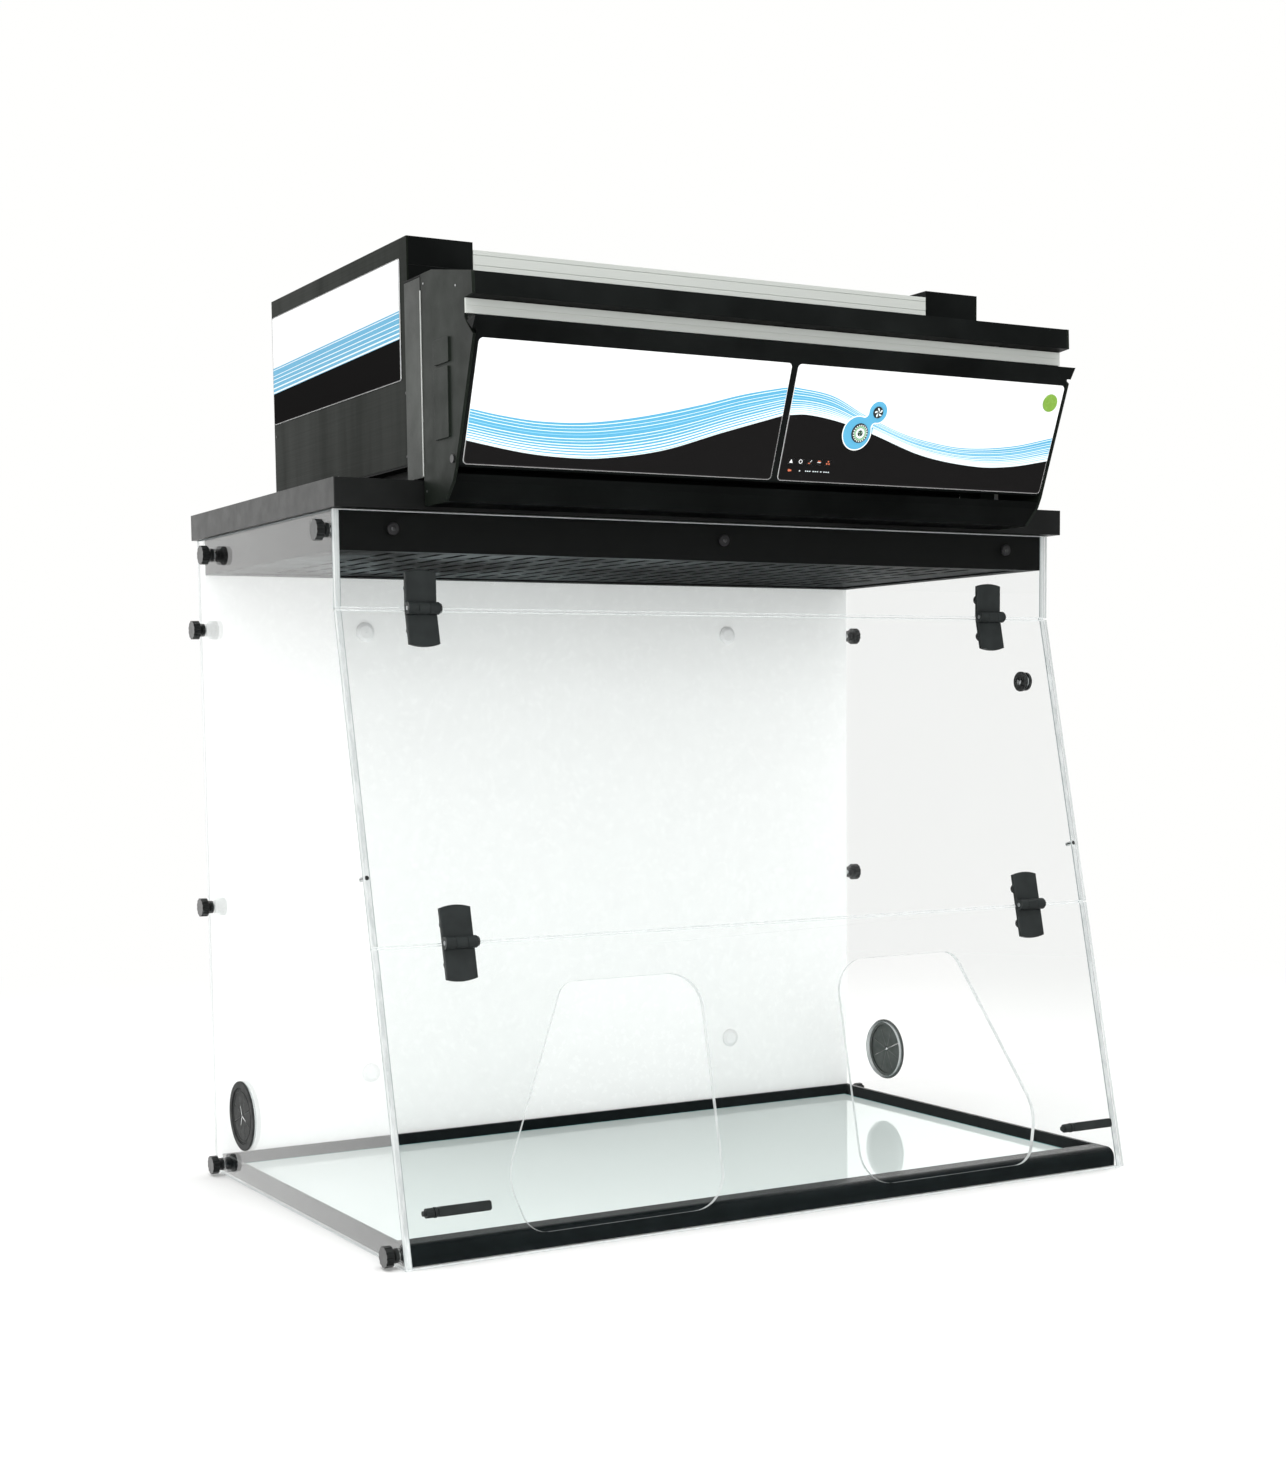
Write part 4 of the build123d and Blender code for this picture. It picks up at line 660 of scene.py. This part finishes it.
def blades(centre, r, count, twist):
    """plain fan blades as flat leaves round a centre"""
    shapes = []
    for k in range(count):
        t = 2 * math.pi * k / count
        pts = []
        for f, wide in ((0.18, 0.10), (0.45, 0.24), (0.75, 0.30), (1.0, 0.12)):
            pts.append((f, wide))
        loop = []
        for f, wide in pts:
            loop.append((r * f * math.cos(t + twist * f + wide), r * f * math.sin(t + twist * f + wide)))
        for f, wide in reversed(pts):
            loop.append((r * f * math.cos(t + twist * f - wide), r * f * math.sin(t + twist * f - wide)))
        shapes.append([[(centre[0] + x, centre[1] + y) for x, y in loop]])
    return shapes


film("power_key_mark", door, blades(POWER, 3.3, 3, 0.7), 0.16, m["ink_green"], "power_key",
     KEY_N - 0.02)
film("speed_key_mark", door, blades(SPEED, 5.4, 5, 0.6), 0.14, m["ink_pale"], "speed_key",
     KEY_N - 0.02)

# pictograms on the lamp windows and the small marks under them, all generic shapes
LENS_N = 0.4
row = {"film_white": [], "ink_orange": []}
row["film_white"].append([[(20, 30.3), (17.8, 26), (22.2, 26)]])
row["film_white"].append([circle(33, 28, 2.4, 24), circle(33, 28, 1.7, 24)])
row["ink_orange"].append([rounded_rect(43.4, 26.0, 46.4, 26.9, 0.2, 2)])
row["film_white"].append([[(46, 27.6), (48.4, 30.2), (48.0, 30.5), (45.6, 27.9)]])
row["film_white"].append([rounded_rect(56.1, 27.7, 60.9, 28.3, 0.2, 2)])
row["ink_orange"].append([rounded_rect(56.6, 28.9, 60.4, 30.0, 0.3, 2)])
row["ink_orange"].append([circle(71, 29.6, 1.0, 16)])
row["ink_orange"].append([circle(69.4, 27.0, 1.0, 16)])
row["ink_orange"].append([circle(72.6, 27.0, 1.0, 16)])
for tone, shapes in row.items():
    film("lens_marks_" + tone[-5:], door, shapes, 0.08, m[tone], "door", LENS_N)
film("under_marks_orange", door, [[lens((19.4, 17.2), (21.8, 17.2), 1.5, 1.0, 2.0, 12)]], 0.09,
     m["ink_orange"], "door")
dots = [[circle(34.2, 17.2, 0.8, 14)]]
for a in (42.6, 45.4, 48.2, 53, 56, 59, 63.6, 68, 71, 74):
    dots.append([rounded_rect(a - 0.9, 16.7, a + 0.9, 17.8, 0.4, 3)])
film("under_marks_pale", door, dots, 0.09, m["ink_pale"], "door")

# ================================================================ printed panels on the head's sides
lab_low, lab_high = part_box("side_labels")
LZ0, LZ1 = lab_low.z / MM, lab_high.z / MM
LY0, LY1 = lab_low.y / MM, lab_high.y / MM


def side_print(name, s):
    side = Place((s * lab_high.x, 0, 0), (0, 1, 0), (0, 0, 1), (s, 0, 0))
    y0, y1 = LY0 + 0.6, LY1 - 0.6

    def line(y, front, back):
        return front + (back - front) * (y - y0) / (y1 - y0)

    def edge(f, y):
        return line(y, 1025.6, 1019.5) * (1 - f) + line(y, 995.0, 988.0) * f

    r = 2.5
    arc = [(math.cos(math.radians(t)), math.sin(math.radians(t))) for t in range(0, 91, 15)]
    field = [(y0, edge(1, y0)), (y1, edge(1, y1))]
    field += [(y1 - r + r * c, LZ0 + 0.5 + r - r * q) for c, q in arc]
    field += [(y0 + r - r * q, LZ0 + 0.5 + r - r * c) for c, q in arc]
    film(name + "_field", side, [[field]], 0.05, m["ink_black"], "hood")
    film(name + "_band", side, [[[(y0, edge(0, y0)), (y1, edge(0, y1)), (y1, edge(1, y1)), (y0, edge(1, y0))]]],
         0.08, m["ink_blue"], "hood")
    for tone in ("ink_mid", "ink_pale"):
        strips = []
        for f0, _f1, f2, wide, ink_name in LINES[::2]:
            if ink_name == tone:
                w = wide * 0.55
                strips.append([[(y0, edge(f0, y0) + w), (y1, edge(f2, y1) + w), (y1, edge(f2, y1) - w),
                                (y0, edge(f0, y0) - w)]])
        if strips:
            film(name + "_lines_" + tone[4:], side, strips, 0.1 if tone == "ink_mid" else 0.12, m[tone], "hood")
    outer = rounded_rect(LY0 + 0.2, LZ0 + 0.2, LY1 - 0.2, LZ1 - 0.2, 2.8)
    inner = rounded_rect(LY0 + 0.8, LZ0 + 0.8, LY1 - 0.8, LZ1 - 0.8, 2.4)
    film(name + "_rule", side, [[outer, inner]], 0.06, m["ink_grey"], "hood")


side_print("side_print_left", -1)
side_print("side_print_right", 1)

# ================================================================ small hardware
PAN = [(3.4, 0.0), (3.4, 0.5), (3.0, 1.3), (1.9, 1.9), (1.5, 1.9), (1.4, 0.9), (0, 0.8)]
SMALL_PAN = [(2.4, 0.0), (2.4, 0.4), (2.1, 0.9), (1.4, 1.3), (1.1, 1.3), (1.0, 0.6), (0, 0.55)]
RIVET = [(1.6, 0.0), (1.5, 0.4), (0.9, 0.75), (0, 0.85)]


def screws(name, place, spots, profile, material, body, segs=20):
    bm = bmesh.new()
    for a, b in spots:
        lathe(bm, place, a, b, profile, segs, -0.05)
    return finish_mesh(name, bm, m[material], body, smooth=True)


side_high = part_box("head_sides")[1]
for s, tag in ((-1, "left"), (1, "right")):
    face = Place((s * side_high.x, 0, 0), (0, 1, 0), (0, 0, 1), (s, 0, 0))
    screws("head_rivets_" + tag, face, [(-122, 866), (-122, 935), (283, 866), (283, 935), (80, 864)], RIVET,
           "dark_steel", "hood")
    plate = Place((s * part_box("module_side_right")[1].x, 0, 0), (0, 1, 0), (0, 0, 1), (s, 0, 0))
    bm = bmesh.new()
    for a, b in ((-181, 1042), (-181, 822), (-262, 1026)):
        lathe(bm, plate, a, b, [(1.1, -0.1), (1.1, 0.3), (0.6, 0.5), (0, 0.55)], 14, -2.2)
    finish_mesh("plate_rivets_" + tag, bm, m["pin"], "hood", smooth=True)

back_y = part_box("head_back")[1].y
back = Place((0, back_y, 0), (-1, 0, 0), (0, 0, 1), (0, 1, 0))
spots = [(a, b) for a in (-380, -130, 130, 380) for b in (866, 1086)] + [(-380, 975), (380, 975)]
screws("head_back_screws", back, spots, PAN, "dark_steel", "hood")
top_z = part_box("head_cover")[1].z
cover = Place((0, 0, top_z), (1, 0, 0), (0, 1, 0), (0, 0, 1))
screws("cover_screws", cover, [(a, b) for a in (-300, -100, 100, 300) for b in (-88, 278)], PAN, "dark_steel", "hood")
grille = Place((0, 0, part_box("exhaust_grille")[1].z), (1, 0, 0), (0, 1, 0), (0, 0, 1))
screws("grille_screws", grille, [(a, b) for a in (-203, 0, 203) for b in (-58, 208)], PAN, "pin", "hood")
inlet_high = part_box("mains_inlet")[1]
inlet = Place((INLET_X, inlet_high.y, INLET_Z), (-1, 0, 0), (0, 0, 1), (0, 1, 0))
screws("inlet_screws", inlet, [(-23.5, 0), (23.5, 0)], SMALL_PAN, "pin", "hood")
deck_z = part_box("deck")[1].z
deck_top = Place((0, 0, deck_z), (1, 0, 0), (0, 1, 0), (0, 0, 1))
screws("deck_screws", deck_top, [(a, b) for a in (-440, 440) for b in (-120, 70, 260)], PAN, "dark_steel", "hood")
chin = Place(door.at(0, 0, -0.8), (1, 0, 0), UP_DOOR, OUT_DOOR)
screws("door_rivets", chin, [(-337, 0.9 + 8.6), (337, 0.9 + 8.6)],
       [(0.9, 0.0), (0.8, 0.3), (0.4, 0.5), (0, 0.52)], "pin", "door", 12)

# ================================================================ work surface
gl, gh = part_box("work_glass")
floor_place = Place((0, 0, gh.z), (1, 0, 0), (0, 1, 0), (0, 0, 1))
a0, b0, a1, b1 = gl.x / MM, gl.y / MM, gh.x / MM, gh.y / MM
film("glass_border", floor_place, [[rounded_rect(a0 + 1.2, b0 + 1.2, a1 - 1.2, b1 - 1.2, 3),
                                    rounded_rect(a0 + 3.4, b0 + 3.4, a1 - 3.4, b1 - 3.4, 3)]], 0.06,
     ink("glass_border_teal", rgb(0.16, 0.42, 0.42), 0.08), "hood", 0.01)

# ================================================================ sealing ridges on the cable ports
def rays(r0, r1, w0, w1, turn, which=range(8)):
    """thin wedges along the slits"""
    shapes = []
    for k in which:
        t = math.pi * k / 4 + turn
        c, q = math.cos(t), math.sin(t)
        shapes.append([[(r0 * c - w0 * q, r0 * q + w0 * c), (r0 * c + w0 * q, r0 * q - w0 * c),
                        (r1 * c + w1 * q, r1 * q - w1 * c), (r1 * c - w1 * q, r1 * q + w1 * c)]])
    return shapes


turn = math.pi / 8                               # the slits lie half a step off the axes
for s, tag in ((-1, "left"), (1, "right")):
    port = Place((s * SIDE_FACE, PORT_Y, PORT_Z), (0, 1, 0), (0, 0, 1), (s, 0, 0))
    bm = bmesh.new()
    for r in (34.0, 30.6):
        ring = []
        for k in range(64):
            t = 2 * math.pi * k / 64
            for dr, dn in ((-0.55, 1.05), (-0.3, 1.6), (0.3, 1.6), (0.55, 1.05)):
                ring.append(bm.verts.new(port.at((r + dr) * math.cos(t), (r + dr) * math.sin(t), dn)))
        for k in range(64):
            j = (k + 1) % 64
            for q in range(4):
                w = (q + 1) % 4
                bm.faces.new((ring[4 * k + q], ring[4 * k + w], ring[4 * j + w], ring[4 * j + q]))
    finish_mesh("port_ridges_" + tag, bm, m["rubber"], "hood", smooth=True)

    film("port_creases_" + tag, port, rays(8.0, 31.0, 0.3, 0.15, turn + 0.03), 0.12, m["crease"],
         "hood", 1.1)
    # pale strips along three of the slits, and a pale dot at the centre inside, are painted light showing through the
    # slits
    film("port_slits_" + tag, port, rays(0.6, 13.0, 0.75, 0.4, turn, (1, 4, 6)), 0.14, m["slit"],
         "hood", 1.1)
    within = Place((s * SIDE_FACE, PORT_Y, PORT_Z), (0, -1, 0), (0, 0, 1), (-s, 0, 0))
    film("port_creases_in_" + tag, within, rays(4.0, 31.0, 0.6, 0.35, turn + 0.03), 0.12, m["crease"], "hood",
         0.5)
    film("port_dot_painted_light_in_" + tag, within, [[circle(0, 0, 1.7, 20)]], 0.14, m["slit"], "hood", 0.5)

# bright centres: screws of the fixed strip and plug of the sampling bush
strip_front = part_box("strip_screws")[0].y
strip = Place((0, strip_front, 0), (1, 0, 0), (0, 0, 1), (0, -1, 0))
bm = bmesh.new()
for a in (-425, 0, 425):
    lathe(bm, strip, a, 784.0, [(2.9, -1.4), (2.9, 0.1), (2.4, 0.6), (1.4, 0.95), (0, 1.05)], 20, 0.0)
finish_mesh("strip_screw_centres", bm, m["pin"], "hood", smooth=True)
plug = Place((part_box("sampling_port")[0].x, SAMPLE_Y, SAMPLE_Z), (0, -1, 0), (0, 0, 1), (-1, 0, 0))
bm = bmesh.new()
lathe(bm, plug, 0, 0, [(4.2, -0.1), (4.2, 0.3), (3.4, 0.8), (1.8, 1.2), (0, 1.3)], 28, 0.0)
finish_mesh("sampling_plug_face", bm, m["pin"], "hood", smooth=True)

# ================================================================ stage
def studio():
    """pale floor that fades into the bright surround"""
    bm = bmesh.new()
    bmesh.ops.create_grid(bm, x_segments=24, y_segments=24, size=14.0)
    mesh = bpy.data.meshes.new("studio_floor")
    bm.to_mesh(mesh)
    bm.free()
    floor = bpy.data.objects.new("studio_floor", mesh)
    bpy.context.scene.collection.objects.link(floor)
    floor.location.z = -0.0005
    s = Shader("studio_floor")
    flat = s.add("ShaderNodeVectorMath", {0: s.coords.outputs["Object"]}, operation="LENGTH").outputs["Value"]
    fade = s.span(flat, 0.9, 2.6, 0.0, 1.0, True)
    card = s.add("ShaderNodeBsdfPrincipled", {"Base Color": s.blend(s.noise(4, 3), rgb(0.9, 0.9, 0.9),
                                                                   rgb(0.93, 0.93, 0.925)),
                                              "Roughness": 0.7, "Specular IOR Level": 0.2})
    glow = s.add("ShaderNodeEmission", {"Color": rgb(1.0, 1.0, 0.99), "Strength": 1.0})
    mix = s.add("ShaderNodeMixShader", {0: fade, 1: card.outputs[0], 2: glow.outputs[0]})
    # mirrored rays go straight through to the surround, so no horizon shows in the clear sheets
    path = s.add("ShaderNodeLightPath")
    mirrored = s.calc("GREATER_THAN", path.outputs["Glossy Depth"], 0.5)
    through_floor = s.add("ShaderNodeBsdfTransparent")
    last = s.add("ShaderNodeMixShader", {0: mirrored, 1: mix.outputs[0], 2: through_floor.outputs[0]})
    s.tree.links.new(last.outputs[0], s.out.inputs[0])
    mesh.materials.append(s.mat)


studio()


TO_DARK = (0.42, -0.9, -0.1)                    # mirrored rays find the surround darkest this way
BRIGHT, DARK = 1.42, 0.05                       # its strength for mirrored rays; 1 for all others


def surround():
    """even white; what the object mirrors is dark in front and bright behind on the left instead"""
    world = bpy.data.worlds.new("surround")
    bpy.context.scene.world = world
    world.use_nodes = True
    tree = world.node_tree
    tree.nodes.clear()
    out = tree.nodes.new("ShaderNodeOutputWorld")
    bg = tree.nodes.new("ShaderNodeBackground")
    path = tree.nodes.new("ShaderNodeLightPath")
    coords = tree.nodes.new("ShaderNodeTexCoord")
    dot = tree.nodes.new("ShaderNodeVectorMath")
    dot.operation = "DOT_PRODUCT"
    dot.inputs[1].default_value = TO_DARK
    ramp = tree.nodes.new("ShaderNodeMapRange")
    ramp.interpolation_type = "SMOOTHSTEP"
    ramp.inputs["From Min"].default_value = -1.0
    ramp.inputs["From Max"].default_value = 0.75
    ramp.inputs["To Min"].default_value = BRIGHT
    ramp.inputs["To Max"].default_value = DARK
    mirrored = tree.nodes.new("ShaderNodeMath")
    mirrored.operation = "GREATER_THAN"
    mirrored.inputs[1].default_value = 0.5
    either = tree.nodes.new("ShaderNodeMix")
    either.inputs[2].default_value = 1.0
    bg.inputs["Color"].default_value = rgb(1, 1, 0.99)
    link = tree.links.new
    link(coords.outputs["Generated"], dot.inputs[0])
    link(dot.outputs["Value"], ramp.inputs["Value"])
    link(path.outputs["Glossy Depth"], mirrored.inputs[0])
    link(mirrored.outputs[0], either.inputs[0])
    link(ramp.outputs[0], either.inputs[3])
    link(either.outputs[0], bg.inputs["Strength"])
    link(bg.outputs[0], out.inputs[0])


surround()


def softbox(name, place, size, power):
    """soft light pointed at AIM, hidden from the camera and from mirrored and refracted rays"""
    data = bpy.data.lights.new(name, "AREA")
    data.shape = "RECTANGLE"
    data.size, data.size_y = size
    data.energy = power
    lamp = bpy.data.objects.new(name, data)
    lamp.location = place
    lamp.rotation_euler = (Vector(AIM) - Vector(place)).to_track_quat("-Z", "Y").to_euler()
    lamp.visible_camera = False
    lamp.visible_glossy = lamp.visible_transmission = False
    bpy.context.scene.collection.objects.link(lamp)


softbox("top", (-0.2, -0.6, 3.2), (3.0, 2.4), 60)
softbox("front_fill", (-0.9, -3.4, 1.0), (2.6, 1.8), 46)

# ================================================================ camera
YAW, PITCH, ROLL = (math.radians(v) for v in (29.27, -5.35, -0.69))
CAMERA_AT = (-1.37558, -2.34522, 0.57464)
LENS_MM, SENSOR_MM = 52.39, 36.0
SHIFT_X, SHIFT_Y = 0.01448, 0.12146              # in sensor widths
look = Vector((math.sin(YAW) * math.cos(PITCH), math.cos(YAW) * math.cos(PITCH), math.sin(PITCH)))
right = Vector((math.cos(YAW), -math.sin(YAW), 0))
above = right.cross(look)
side_v = right * math.cos(ROLL) + above * math.sin(ROLL)
up_v = -right * math.sin(ROLL) + above * math.cos(ROLL)
camera_data = bpy.data.cameras.new("camera")
camera = bpy.data.objects.new("camera", camera_data)
bpy.context.scene.collection.objects.link(camera)
camera.matrix_world = Matrix.Translation(CAMERA_AT) @ Matrix((side_v, up_v, -look)).transposed().to_4x4()
camera_data.sensor_width = SENSOR_MM
camera_data.lens = LENS_MM
camera_data.shift_x = SHIFT_X
camera_data.shift_y = SHIFT_Y
camera_data.clip_end = 60.0
scene = bpy.context.scene
scene.camera = camera
scene.view_settings.view_transform = "Standard"
scene.cycles.max_bounces = 28
scene.cycles.transmission_bounces = 24
scene.cycles.transparent_max_bounces = 32
scene.cycles.glossy_bounces = 6
scene.cycles.diffuse_bounces = 4
